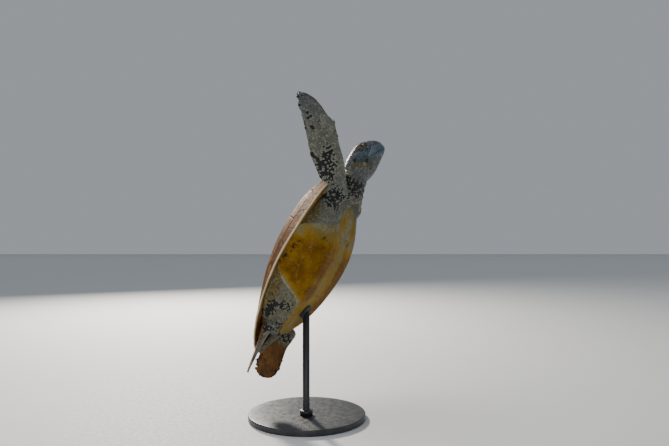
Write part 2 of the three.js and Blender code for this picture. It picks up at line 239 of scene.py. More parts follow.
def join(forms: list[Form]) -> Form:
    """Puts forms into one, with values that a form lacks set to zero."""
    starts = np.cumsum([0] + [len(f.points) for f in forms[:-1]])
    faces = [shifted(f.faces, start) for f, start in zip(forms, starts)]
    names = {name: f.values[name] for f in forms for name in f.values}
    values = {}
    for name, like in names.items():
        blank = np.zeros((1, *like.shape[1:]))
        values[name] = np.concatenate([f.values.get(name, blank.repeat(len(f.points), 0)) for f in forms])
    return Form(np.concatenate([f.points for f in forms]), np.concatenate(faces), values)


def ring_faces(rings: int, around: int) -> Array:
    """Quads between neighbouring closed rings of points that are numbered ring by ring."""
    ring, corner = np.meshgrid(np.arange(rings - 1), np.arange(around), indexing="ij")
    here, over = ring * around + corner, ring * around + (corner + 1) % around
    return vec(here, over, over + around, here + around).reshape(-1, 4)


def fan_faces(pole: int, start: int, around: int) -> Array:
    """Triangles from a pole to the closed ring of points that begins at start."""
    corner = np.arange(around)
    over = (corner + 1) % around
    return vec(np.full(around, pole), start + over, start + corner, np.full(around, NO_CORNER))


def capped_faces(rows: int, around: int) -> Array:
    """Faces of closed rings, numbered row by row, whose first and last rows are each one point."""
    last = (rows - 2) * around + 1
    tail = fan_faces(last, last - around, around)[:, [0, 2, 1, 3]]
    return np.concatenate([fan_faces(0, 1, around), ring_faces(rows - 2, around) + 1, tail])


def closed_rings(grid: Array, values: dict[str, Array] | None = None) -> Form:
    """A closed form from rings whose first and last rows are each one point.

    Args:
        grid: points, rows by columns by 3.
        values: values on the same grid.

    Returns:
        The form, facing out.
    """

    def flat(a: Array) -> Array:
        """Rows as one list, with one entry for each pole."""
        return np.concatenate([a[:1, 0], a[1:-1].reshape(-1, *a.shape[2:]), a[-1:, 0]])

    held = {name: flat(value) for name, value in (values or {}).items()}
    return Form(flat(grid), capped_faces(*grid.shape[:2]), held).facing_out()


def closed_sheet(upper: Array, lower: Array, values: dict[str, Array] | None = None) -> Form:
    """A closed form from an upper and a lower grid of the same size, walled round their borders."""
    rows, columns = upper.shape[:2]
    row, column = np.meshgrid(np.arange(rows - 1), np.arange(columns - 1), indexing="ij")
    here = (row * columns + column).ravel()
    top = vec(here, here + 1, here + columns + 1, here + columns)
    count = rows * columns
    index = np.arange(count).reshape(rows, columns)
    border = np.concatenate([index[0], index[1:, -1], index[-1, -2::-1], index[-2:0:-1, 0]])
    over = np.roll(border, -1)
    walls = vec(over, border, border + count, over + count)
    faces = np.concatenate([top, top[:, ::-1] + count, walls])
    points = np.concatenate([upper.reshape(-1, 3), lower.reshape(-1, 3)])
    doubled = {k: np.concatenate([v.reshape(count, *v.shape[2:])] * 2) for k, v in (values or {}).items()}
    return Form(points, faces, doubled).facing_out()


def lathe(profile: list[Place], around: int) -> Form:
    """Turns a profile of radius and height, which starts and ends on the axis, about Z."""
    radius, height = np.array(profile).T
    angle = circle(around)
    ring = compass(angle)
    flat = radius[:, None, None] * ring[None]
    tall = np.broadcast_to(height[:, None, None], (len(radius), around, 1))
    return closed_rings(np.concatenate([flat, tall], axis=-1))


def put_into_mesh(mesh: bpy.types.Mesh, form: Form) -> None:
    """Fills a mesh with a form's points, faces and values, by whole arrays."""
    corners = form.faces[form.faces != NO_CORNER]
    sizes = (form.faces != NO_CORNER).sum(axis=1)
    mesh.vertices.add(len(form.points))
    mesh.vertices.foreach_set("co", np.ascontiguousarray(form.points, np.float32).ravel())
    mesh.loops.add(len(corners))
    mesh.loops.foreach_set("vertex_index", corners.astype(np.int32))
    mesh.polygons.add(len(sizes))
    mesh.polygons.foreach_set("loop_start", (np.cumsum(sizes) - sizes).astype(np.int32))
    mesh.polygons.foreach_set("use_smooth", np.ones(len(sizes), bool))
    for name, value in form.values.items():
        if name == BAKE_MAP:
            layer = mesh.uv_layers.new(name=BAKE_MAP)
            layer.uv.foreach_set("vector", value[corners].astype(np.float32).ravel())
            continue
        kind = "FLOAT" if value.ndim == 1 else "FLOAT_VECTOR"
        slot = "value" if value.ndim == 1 else "vector"
        made = mesh.attributes.new(name, kind, "POINT")
        made.data.foreach_set(slot, np.ascontiguousarray(value, np.float32).ravel())
    mesh.update(calc_edges=True)
    mesh.validate()


def new_object(name: str, form: Form, material: Material | None = None) -> bpy.types.Object:
    """An object at the origin that holds a form."""
    mesh = bpy.data.meshes.new(name)
    put_into_mesh(mesh, form)
    made = bpy.data.objects.new(name, mesh)
    bpy.context.scene.collection.objects.link(made)
    if material is not None:
        mesh.materials.append(material)
    return made


def form_of(thing: bpy.types.Object) -> Form:
    """The form of an object with its modifiers applied, which is then removed."""
    graph = bpy.context.evaluated_depsgraph_get()
    mesh = bpy.data.meshes.new_from_object(thing.evaluated_get(graph))
    points = np.empty(len(mesh.vertices) * 3, np.float32)
    mesh.vertices.foreach_get("co", points)
    corners = np.empty(len(mesh.loops), np.int32)
    mesh.loops.foreach_get("vertex_index", corners)
    sizes = np.empty(len(mesh.polygons), np.int32)
    mesh.polygons.foreach_get("loop_total", sizes)
    starts = np.cumsum(sizes) - sizes
    column = np.minimum(np.arange(4)[None], sizes[:, None] - 1)
    faces = corners[starts[:, None] + column]
    faces[np.arange(4)[None] >= sizes[:, None]] = NO_CORNER
    bpy.data.objects.remove(thing)
    bpy.data.meshes.remove(mesh)
    return Form(points.reshape(-1, 3).astype(float), faces)


def remeshed(form: Form, voxel: float) -> Form:
    """One outer skin round a form's overlapping bodies, by a voxel remesh."""
    rough = new_object("remesh", form)
    skin = rough.modifiers.new("one skin", "REMESH")
    skin.mode = "VOXEL"
    skin.voxel_size = voxel
    return form_of(rough)


def thinned(form: Form, most: int) -> Form:
    """The form with its flattest faces merged until it has no more than a number of triangles."""
    rough = new_object("thinned", form)
    fewer = rough.modifiers.new("fewer", "DECIMATE")
    fewer.ratio = min(1.0, most / form.triangles())
    return form_of(rough)


def edges_of(form: Form) -> tuple[Array, Array]:
    """The two ends of each side of each face."""
    quad = form.faces[:, 3] != NO_CORNER
    four, three = form.faces[quad], form.faces[~quad]
    sides = [form.faces[:, :2], form.faces[:, 1:3], four[:, 2:], four[:, [3, 0]], three[:, [2, 0]]]
    both = np.concatenate(sides)
    return both[:, 0], both[:, 1]


def relaxed(form: Form, weight: Array, passes: int) -> Form:
    """Moves each point towards the mean of its neighbours, by its weight, a few times over."""
    a, b = edges_of(form)
    count = len(form.points)
    shares = np.maximum(np.bincount(a, minlength=count), 1)
    for _ in range(passes):
        near = vec(*(np.bincount(a, form.points[b, k], count) for k in range(3)))
        form.points += (near / shares[:, None] - form.points) * weight[:, None]
    return form


def point_normals(form: Form) -> Array:
    """Outward direction at each point: the sum, over its faces, of the cross product of their diagonals."""
    quad = form.points[form.faces]
    real = form.faces != NO_CORNER
    fourth = np.where(real[:, 3:], quad[:, 3], quad[:, 2])
    normal = np.cross(quad[:, 2] - quad[:, 0], fourth - quad[:, 1])
    corner, face = form.faces[real], np.nonzero(real)[0]
    return unit(vec(*(np.bincount(corner, normal[face, axis], len(form.points)) for axis in range(3))))


# ---------------------------------------------------------------- the turtle's own frame


@dataclass(frozen=True)
class Pose:
    """How the turtle swims on its stand: nose up, banked and slightly turned."""

    pitch_up: float = 58.8
    roll: float = -27.0
    heading: float = 7.7
    shell_height: float = 0.632

    def placed(self, form: Form) -> Form:
        """A form moved from the turtle's own frame to where the turtle hangs."""
        turn = rotation(self.roll, -self.pitch_up, self.heading)
        moved = form.points @ turn.T + np.array([0, 0, self.shell_height])
        return Form(moved, form.faces, form.values)


@dataclass(frozen=True)
class ShellForm:
    """Outline, dome and belly of the shell, as heights over its plan."""

    length: float = 0.8
    half_width: float = 0.303
    widest_power: float = 0.73
    fullness: float = 0.605
    dome: float = 0.139
    crest_power: float = 0.63
    dome_fullness: float = 1.05
    flatness: float = 2.4
    shoulder: float = 1.1
    keel: float = 0.005
    keel_half_width: float = 0.12
    rim_lift: Stations = ((0, 0.024), (0.3, 0), (0.6, 0.006), (0.8, 0.004), (1, -0.006))
    belly_depth: Stations = (
        (0, 0.014), (0.1, 0.037), (0.25, 0.079), (0.45, 0.111), (0.68, 0.105), (0.86, 0.066), (1, 0.016),
    )
    belly_share: Stations = (
        (0, 0.97), (0.3, 1), (0.5, 0.97), (0.66, 0.74), (0.82, 0.36), (0.93, 0.14), (1, 0.05),
    )

    def share(self, x: Array) -> Array:
        """Share of the shell's length behind its front edge."""
        return np.clip(0.5 - np.asarray(x) / self.length, 0, 1)

    def half(self, s: Array) -> Array:
        """Half width of the outline: width times sin(pi s^a)^b."""
        bow = np.abs(np.sin(math.pi * np.asarray(s) ** self.widest_power))
        return self.half_width * bow**self.fullness

    def lateral(self, x: Array, y: Array) -> Array:
        """Size of the share of the half width, from 0 on the midline to 1 at the rim."""
        return np.minimum(np.abs(y) / np.maximum(self.half(self.share(x)), 1e-4), 1)

    def dome_at(self, x: Array, y: Array) -> Array:
        """Height of the carapace: rim plus an arch that falls to the rim, with a low keel."""
        s, t = self.share(x), self.lateral(x, y)
        arch = self.dome * np.abs(np.sin(math.pi * s**self.crest_power)) ** self.dome_fullness
        keel = self.keel * np.maximum(0, 1 - t / self.keel_half_width) * np.sin(math.pi * s)
        return along(self.rim_lift, s) + arch * (1 - t**self.flatness) ** self.shoulder + keel

    def belly_at(self, x: Array, y: Array) -> Array:
        """Height of the plastron: rim less the belly's depth, shared out over the width."""
        s, t = self.share(x), self.lateral(x, y)
        return along(self.rim_lift, s) - along(self.belly_depth, s) * along(self.belly_share, t)

    def rim(self, side: int, count: int = 600) -> Array:
        """The outline in plan on one side, from the front midline to the rear one."""
        s = eased(np.linspace(0, 1, count))
        return vec(self.length * (0.5 - s), side * self.half(s))


SHELL = ShellForm()
POSE = Pose()


def over(height: Reading, plan: Array, lift: Array | float, down: bool) -> Array:
    """Points a lift away from a height over the plan, along its own normal.

    Args:
        height: the surface's height at x and y.
        plan: places along and across the turtle, with a last axis of two.
        lift: distance out of the surface.
        down: whether out is downwards, as on the belly.

    Returns:
        The points, with a last axis of three.
    """
    x, y = plan[..., 0], plan[..., 1]
    step = 0.001
    slope_x = (height(x + step, y) - height(x - step, y)) / (2 * step)
    slope_y = (height(x, y + step) - height(x, y - step)) / (2 * step)
    normal = unit(vec(-slope_x, -slope_y, np.ones_like(slope_x)))
    out = -normal if down else normal
    return vec(x, y, height(x, y)) + out * np.asarray(lift)[..., None]


def along_line(line: Array, share: Array) -> Array:
    """Points at shares of the length of an open line of points."""
    run = run_of(line)
    return vec(*(np.interp(share * run[-1], run, values) for values in line.T))


@dataclass(frozen=True)
class PlateStyle:
    """How a horn plate is raised, edged and ridged."""

    lift: float = 0.0008
    edge_drop: float = 0.0004
    edge_width: float = 0.005
    gap: float = 0.0004
    ridge: float = 0.00022
    ridge_step: float = 0.0058
    depth: float = 0.0035
    corners: int = 84
    rings: int = 26
    rounding: int = 3

    def profile(self, inwards: Array) -> Array:
        """Lift at a distance in from the seam: a soft shoulder up to the plate, then fine ridges."""
        edge = np.clip(inwards / self.edge_width, 0, 1)
        raised = -self.edge_drop + (self.lift + self.edge_drop) * np.sin(math.pi / 2 * edge)
        ridges = self.ridge * np.sin(TURN * inwards / self.ridge_step)
        return raised + ridges * smoothstep(inwards, self.edge_width, 3 * self.edge_width)


def horn_plate(
    corners: list[Place], height: Reading, down: bool,
    style: PlateStyle, number: int, centre: Place | None = None,
) -> Form:
    """A many-sided horn plate on the shell, as rings from its growth centre out to its seam.

    Args:
        corners: its outline in plan.
        height: the surface that it lies on.
        down: whether it faces down.
        style: how it is raised and ridged.
        number: its place in the row, which sets its tone and streaks.
        centre: the growth centre in plan, if not the outline's middle.

    Returns:
        The closed plate.
    """
    closed = np.array(corners + corners[:1])
    edge = along_line(closed, np.linspace(0, 1, style.corners, endpoint=False))
    for _ in range(style.rounding):
        edge = edge / 2 + (np.roll(edge, 1, axis=0) + np.roll(edge, -1, axis=0)) / 4
    middle = np.array(centre) if centre else edge.mean(axis=0)
    reach = np.linalg.norm(edge - middle, axis=1)
    edge = middle + (edge - middle) * (1 - style.gap / reach)[:, None]
    ring = np.sin(np.linspace(0, math.pi / 2, style.rings))
    plan = middle + ring[:, None, None] * (edge - middle)
    inwards = (1 - ring)[:, None] * reach[None]
    uneven = waves(np.concatenate([plan, np.full((*plan.shape[:2], 1), number * 0.07)], axis=-1), 0.02)
    lift = style.profile(inwards + 0.0012 * uneven)
    back = [-1, style.rings // 2, 0]
    under = over(height, plan[back], -style.depth, down)
    grid = np.concatenate([over(height, plan, lift, down), under])
    angle = np.arctan2(edge[:, 1] - middle[1], edge[:, 0] - middle[0])
    streak = np.zeros((*grid.shape[:2], 3))
    streak[..., :2] = compass(angle) * (0.6 + 0.4 * np.concatenate([ring, ring[back]])[:, None, None])
    streak[..., 2] = number * STREAK_STEP
    seam = np.concatenate([inwards, inwards[back]])
    tone = np.full(grid.shape[:2], (number * GOLDEN) % 1)
    return closed_rings(grid, {"streak": streak, "seam": seam, "tone": tone})


# ---------------------------------------------------------------- lofts: the body's flesh


@dataclass
class Loft:
    """A closed form round a line, read by its share of length and its share of girth.

    The rings are spaced evenly round their girth, so that what grows on them does so too.
    """

    shape: Shape
    rows: int = 160
    around: int = 160
    grow: float = 0.0

    def __post_init__(self) -> None:
        """Works out the grid of points with each ring spaced by its girth."""
        self.u = np.linspace(0, 1, self.rows)
        fine = np.linspace(0, TURN, 721)
        ring = self.shape(self.u[:, None], fine[None], self.grow)
        run = run_of(ring)
        self.girth = run[:, -1]
        share = run / np.maximum(run[:, -1:], 1e-9)
        share[self.girth < 1e-6] = np.linspace(0, 1, 721)
        offset = np.arange(self.rows)[:, None] * 2.0
        wanted = offset + np.linspace(0, 1, self.around + 1)[None]
        angles = np.broadcast_to(fine, share.shape)
        self.angle = np.interp(wanted, (share + offset).ravel(), angles.ravel())
        self.grid = self.shape(self.u[:, None], self.angle, self.grow)
        middle = self.grid[:, :-1].mean(axis=1)
        self.run = run_of(middle)
        down = np.gradient(self.grid, axis=0)
        around = (np.roll(self.grid[:, :-1], -1, axis=1) - np.roll(self.grid[:, :-1], 1, axis=1)) / 2
        around = np.concatenate([around, around[:, :1]], axis=1)
        normal = unit(np.cross(down, around))
        outward = self.grid - middle[:, None]
        self.normal = normal * np.sign((normal * outward).sum())

    def read(self, table: Array, u: Array, v: Array) -> Array:
        """Reads a table on the grid between its points.

        Args:
            table: values, rows by columns, with the last column equal to the first.
            u: places along, from 0 to 1.
            v: places round the girth; whole turns are dropped.

        Returns:
            The values at each place.
        """
        row = np.clip(u, 0, 1) * (self.rows - 1)
        column = (v % 1) * self.around
        i = np.minimum(row.astype(int), self.rows - 2)
        j = np.minimum(column.astype(int), self.around - 1)
        a = (row - i).reshape(row.shape + (1,) * (table.ndim - 2))
        b = (column - j).reshape(row.shape + (1,) * (table.ndim - 2))
        upper = table[i, j] * (1 - b) + table[i, j + 1] * b
        lower = table[i + 1, j] * (1 - b) + table[i + 1, j + 1] * b
        return upper * (1 - a) + lower * a

    def point(self, u: Array, v: Array) -> Array:
        """Points on the surface."""
        return self.read(self.grid, u, v)

    def out(self, u: Array, v: Array) -> Array:
        """Outward directions on the surface."""
        return unit(self.read(self.normal, u, v))

    def form(self) -> Form:
        """The closed mesh of the grid."""
        return closed_rings(self.grid[:, :-1])


def body_shape(stations: Stations, back: float = 1.0, folds: Reading | None = None) -> Shape:
    """Shape carried through stations of share, x, y, z, half width and half height.

    A point is the middle plus width times cos and height times sin of the angle, and folds are
    added to both.
    """

    def shape(u: Array, angle: Array, grow: float) -> Array:
        """Points at u and angle."""
        p = eased(u) + 0 * angle
        open_ = open_ends(u)
        extra = grow + (folds(p, angle) if folds else 0)
        x, y, z = (along(stations, p, k) for k in (1, 2, 3))
        wide = np.maximum(along(stations, p, 4) + extra, 0) * open_
        high = np.maximum(along(stations, p, 5) + extra, 0) * open_
        rise = np.where(np.sin(angle) > 0, back, 1.0)
        return vec(x, y + wide * np.cos(angle), z + high * rise * np.sin(angle))

    return shape


@dataclass(frozen=True)
class Blade:
    """A flipper: a flat limb in a frame of its own, X along it, Y to its leading edge."""

    name: str
    stations: Stations
    length: float
    root: Point
    direction: Point
    leading: Point
    dorsal: int
    claws: tuple[Place, ...]
    scallops: float = 0.0
    scallop_count: float = 9.0

    def axes(self) -> Array:
        """Rows are the directions out along the limb, forward to its leading edge, and its face."""
        out = unit(np.array(self.direction))
        fore = square_to(np.array(self.leading), out)
        return np.stack([out, fore, np.cross(out, fore)])

    def placed(self, local: Array) -> Array:
        """Points moved from the limb's frame to the turtle's."""
        return local @ self.axes() + np.array(self.root)

    def local(self, points: Array) -> Array:
        """Points moved from the turtle's frame to the limb's."""
        return (points - np.array(self.root)) @ self.axes().T

    def shape(self, u: Array, angle: Array, grow: float) -> Array:
        """Blade points: reach by cos of the angle, and thickness by sin, less towards the rear edge.

        Low ridges run out along the finger bones, and the trailing edge is scalloped.
        """
        p = eased(u) + 0 * angle
        fore = along(self.stations, p, 1) + grow
        lobes = 1 - np.abs(np.sin(math.pi * self.scallop_count * p))
        notch = self.scallops * lobes * smoothstep(p, 0.35, 0.6)
        aft = along(self.stations, p, 2) + grow - notch
        chord = (1 + np.cos(angle)) / 2
        bones = np.sin(TURN * (4.5 * chord - 1.2 * p))
        bones = bones * smoothstep(p, 0.45, 0.65) * smoothstep(1 - p, 0.02, 0.2)
        thick = (along(self.stations, p, 3) + grow) * (0.4 + 0.6 * chord**0.8) * (1 + 0.07 * bones)
        open_ = open_ends(u)
        local = vec(
            p * self.length,
            (fore - aft) / 2 + (fore + aft) / 2 * np.cos(angle) * open_,
            thick * np.sin(angle) * open_,
        )
        return self.placed(local)


@dataclass(frozen=True)
class HeadForm:
    """The head, in shares of its length from the back of the skull to the beak."""

    length: float = 0.186
    place: Point = (0.400, -0.003, 0.019)
    yaw: float = -14.0
    pitch: float = -10.0
    squareness: float = 2.5
    half_width: Stations = (
        (0, 0), (0.03, 0.19), (0.1, 0.29), (0.22, 0.35), (0.36, 0.362), (0.5, 0.342),
        (0.62, 0.308), (0.74, 0.264), (0.85, 0.214), (0.93, 0.155), (0.98, 0.083), (1, 0),
    )
    crown: Stations = (
        (0, 0), (0.03, 0.17), (0.1, 0.255), (0.25, 0.31), (0.45, 0.335), (0.62, 0.342),
        (0.74, 0.318), (0.84, 0.25), (0.92, 0.17), (0.975, 0.095), (1, 0),
    )
    chin: Stations = (
        (0, 0), (0.03, 0.155), (0.1, 0.245), (0.25, 0.295), (0.45, 0.295), (0.6, 0.27),
        (0.75, 0.235), (0.86, 0.2), (0.94, 0.155), (0.98, 0.1), (1, 0),
    )
    axis: Stations = ((0, 0), (0.5, 0.01), (0.8, -0.006), (1, -0.031))
    brow: float = 0.0024
    cheek_hollow: float = 0.0022

    def turn(self) -> Array:
        """The head's turn on the neck."""
        return rotation(0, -self.pitch, self.yaw)

    def placed(self, local: Array) -> Array:
        """Points moved from the head's frame to the turtle's."""
        return local @ self.turn().T + np.array(self.place)

    def local(self, points: Array) -> Array:
        """Points moved from the turtle's frame to the head's."""
        return (points - np.array(self.place)) @ self.turn()

    def shape(self, u: Array, angle: Array, grow: float) -> Array:
        """Superellipse rings, higher over the axis than under it, with brows and hollow cheeks."""
        p = eased(u) + 0 * angle
        open_ = open_ends(u)
        power = 2 / self.squareness
        across, up = signed_power(np.cos(angle), power), signed_power(np.sin(angle), power)
        brow = self.brow * bell(p, 0.66, 0.1) * bell(up, 0.72, 0.22)
        hollow = self.cheek_hollow * bell(p, 0.72, 0.09) * bell(up, 0.02, 0.2)
        extra = grow + brow - hollow
        wide = along(self.half_width, p) * self.length
        rise = np.where(up >= 0, along(self.crown, p), along(self.chin, p)) * self.length
        local = vec(
            p * self.length + grow * (2 * p - 1),
            (wide + extra) * across * open_,
            along(self.axis, p) * self.length + (rise + extra) * up * open_,
        )
        return self.placed(local)


HEAD = HeadForm()
NECK_STATIONS: Stations = (
    (0, 0.25, 0, -0.024, 0.116, 0.052), (0.4, 0.32, 0, -0.012, 0.098, 0.052),
    (0.75, 0.378, -0.004, 0.006, 0.078, 0.052), (1, 0.426, -0.009, 0.012, 0.058, 0.048),
)
TRUNK_STATIONS: Stations = (
    (0, -0.322, 0, -0.024, 0, 0), (0.04, -0.308, 0, -0.018, 0.06, 0.03),
    (0.14, -0.264, 0, -0.016, 0.134, 0.058), (0.3, -0.18, 0, -0.002, 0.216, 0.104),
    (0.5, -0.02, 0, 0.01, 0.262, 0.13), (0.7, 0.13, 0, 0.008, 0.264, 0.124),
    (0.82, 0.215, 0, -0.006, 0.236, 0.1), (0.92, 0.278, 0, -0.012, 0.18, 0.062),
    (0.975, 0.322, 0, -0.016, 0.112, 0.042), (1, 0.342, 0, -0.017, 0, 0),
)
TAIL_STATIONS: Stations = (
    (0, -0.236, 0, -0.052, 0.03, 0.026), (0.35, -0.3, 0, -0.042, 0.024, 0.02),
    (0.7, -0.36, 0, -0.028, 0.015, 0.012), (0.93, -0.402, 0, -0.016, 0.008, 0.007),
    (1, -0.414, 0, -0.012, 0, 0),
)
FRONT_BLADE: Stations = (
    (0, 0.018, 0.018, 0.016), (0.04, 0.046, 0.042, 0.034), (0.12, 0.056, 0.05, 0.04),
    (0.24, 0.068, 0.034, 0.032), (0.36, 0.077, 0.033, 0.025), (0.48, 0.08, 0.037, 0.02),
    (0.6, 0.086, 0.03, 0.017), (0.67, 0.087, 0.026, 0.015), (0.74, 0.073, 0.023, 0.012),
    (0.84, 0.06, 0.017, 0.009), (0.92, 0.042, 0.018, 0.0065), (0.97, 0.021, 0.013, 0.0045),
    (1, 0, 0.006, 0.002),
)
HIND_BLADE: Stations = (
    (0, 0.014, 0.014, 0.014), (0.05, 0.034, 0.034, 0.03), (0.18, 0.038, 0.044, 0.027),
    (0.35, 0.034, 0.05, 0.017), (0.55, 0.042, 0.057, 0.011), (0.75, 0.05, 0.059, 0.0075),
    (0.88, 0.044, 0.051, 0.0055), (0.96, 0.026, 0.034, 0.004), (1, 0, 0.012, 0.002),
)
FRONT_CLAWS = ((0.66, 0.017), (0.55, 0.012))
HIND_CLAWS = ((0.72, 0.013), (0.58, 0.01))
BLADES = (
    Blade("front_right", FRONT_BLADE, 0.488, (0.264, -0.136, -0.032), (0.5, -0.768, 0.42),
          (0.82, 0.27, -0.505), 1, FRONT_CLAWS, 0.003, 13.0),
    Blade("front_left", FRONT_BLADE, 0.488, (0.264, 0.136, -0.018), (0.48, 0.66, 0.58),
          (0.85, -0.35, -0.3), -1, FRONT_CLAWS, 0.003, 13.0),
    Blade("hind_right", HIND_BLADE, 0.226, (-0.252, -0.104, -0.026), (-0.97, -0.08, -0.17),
          (0, -0.925, -0.374), 1, HIND_CLAWS, 0.006, 7.0),
    Blade("hind_left", HIND_BLADE, 0.25, (-0.262, 0.104, -0.04), (-0.985, 0.15, 0.03),
          (0.02, 0.25, -0.968), -1, HIND_CLAWS, 0.006, 7.0),
)


def neck_folds(p: Array, angle: Array) -> Array:
    """Soft rings of loose skin round the neck, deeper at its sides and nape."""
    bend = 0.012 * np.sin(2 * angle) + 0.02 * np.sin(angle + 1)
    return 0.0022 * np.sin(TURN * 7 * (p + bend)) * (0.6 + 0.4 * np.cos(angle) ** 2)


DOME_GAP = 0.011
BELLY_GAP = 0.004
RIM_SLOPE = 1.6
RIM_REACH = 0.06


def under_shell(points: Array, whole: bool = False) -> Array:
    """Keeps flesh below the dome and above the belly plate, and clear of the rim beside it.

    Beside the rim the upper limit rises by RIM_SLOPE for each unit of distance out.

    Args:
        points: places in the turtle's frame.
        whole: whether the flesh also ends at the belly's surface beside the plate, as the trunk's does.

    Returns:
        The points, with their heights limited.
    """
    x, y, z = points.T
    within = np.abs(x) < SHELL.length / 2 - 0.004
    beside = np.maximum(np.abs(y) - SHELL.half(SHELL.share(x)), 0)
    top = SHELL.dome_at(x, y) - DOME_GAP + RIM_SLOPE * beside
    z = np.where(within & (beside < RIM_REACH) & (z > top), top, z)
    plated = PLASTRON.covers(x, y)
    bottom = SHELL.belly_at(x, y) + BELLY_GAP
    z = np.where(plated & (z < bottom) & (z > bottom - 0.05), bottom, z)
    if whole:
        floor = np.where(plated, bottom, bottom - 0.0015)
        z = np.where(plated | within, np.maximum(z, floor), z)
    return vec(x, y, z)


# ---------------------------------------------------------------- markings


@dataclass(frozen=True)
class Blot:
    """A dark patch of the skin: its middle, its reach along each axis and its strength."""

    middle: Point
    reach: Point
    strength: float = 1.0

    def at(self, points: Array) -> Array:
        """Strength at each point, falling off as a bell from the middle."""
        away = (points - np.array(self.middle)) / np.array(self.reach)
        return self.strength * np.exp(-((away**2).sum(axis=-1) ** 1.5))


def mirrored(*blots: Blot) -> tuple[Blot, ...]:
    """Blots of the right side, with their mirror images on the left."""
    return blots + tuple(Blot((b.middle[0], -b.middle[1], b.middle[2]), b.reach, b.strength) for b in blots)


BODY_BLOTS = mirrored(
    Blot((0.265, -0.188, -0.02), (0.04, 0.052, 0.05), 1.1),
    Blot((0.31, -0.115, -0.035), (0.02, 0.032, 0.03), 0.7),
    Blot((0.352, -0.062, -0.03), (0.036, 0.062, 0.04), 1.15),
    Blot((0.385, -0.04, -0.03), (0.02, 0.045, 0.032), 1.0),
    Blot((0.375, -0.07, 0.015), (0.03, 0.03, 0.03), 0.9),
    Blot((-0.176, -0.14, -0.06), (0.02, 0.034, 0.03), 1.1),
    Blot((-0.200, -0.178, -0.035), (0.02, 0.03, 0.03), 1.0),
    Blot((-0.235, -0.16, -0.02), (0.026, 0.022, 0.03), 0.9),
    Blot((-0.262, -0.09, -0.055), (0.016, 0.024, 0.03), 0.95),
) + (
    Blot((-0.292, 0.0, -0.06), (0.016, 0.04, 0.03), 1.1),
    Blot((-0.31, 0.09, -0.035), (0.018, 0.034, 0.04), 1.1),
)
FRONT_BLOTS = (
    Blot((0.045, -0.008, 0), (0.045, 0.05, 0.2), 0.9),
    Blot((0.17, -0.004, 0), (0.058, 0.034, 0.2), 0.85),
    Blot((0.215, 0.028, 0), (0.05, 0.028, 0.2), 0.7),
    Blot((0.235, -0.03, 0), (0.06, 0.008, 0.2), 0.7),
    Blot((0.375, -0.006, 0), (0.05, 0.026, 0.2), 0.42),
    Blot((0.33, -0.03, 0), (0.04, 0.008, 0.2), 0.36),
    Blot((0.47, 0.022, 0), (0.014, 0.02, 0.2), 0.3),
    Blot((0.455, -0.012, 0), (0.03, 0.006, 0.2), 0.5),
)
HIND_BLOTS = (
    Blot((0.045, 0.0, 0), (0.022, 0.05, 0.2), 0.8),
    Blot((0.238, 0.01, 0), (0.012, 0.05, 0.2), 0.42),
    Blot((0.15, -0.05, 0), (0.09, 0.012, 0.2), 0.4),
    Blot((0.19, 0.04, 0), (0.05, 0.012, 0.2), 0.36),
    Blot((0.2, -0.02, 0), (0.03, 0.03, 0.2), 0.2),
)
CHEEK_DOTS = (
    (0.139, -0.047, 0.006), (0.134, -0.046, -0.024), (0.108, -0.059, 0.018), (0.098, -0.062, 0.012),
    (0.084, -0.064, 0.02), (0.071, -0.067, 0.015), (0.078, -0.034, -0.049), (0.106, -0.056, -0.022),
    (0.122, -0.05, 0.014), (0.09, -0.055, 0.038), (0.03, -0.055, -0.004), (0.024, -0.045, -0.024),
)
HEAD_BLOTS = mirrored(
    Blot((0.141, -0.046, 0.034), (0.022, 0.016, 0.016), 1.3),
    Blot((0.124, -0.05, 0.028), (0.012, 0.012, 0.01), 0.9),
    Blot((0.165, -0.024, 0.024), (0.03, 0.02, 0.022), 0.9),
    *(Blot(dot, (0.0062, 0.0062, 0.0062), 1.1) for dot in CHEEK_DOTS),
) + (
    Blot((0.15, 0, 0.05), (0.035, 0.03, 0.02), 0.8),
    Blot((0.07, 0, 0.068), (0.08, 0.03, 0.012), 0.5),
)


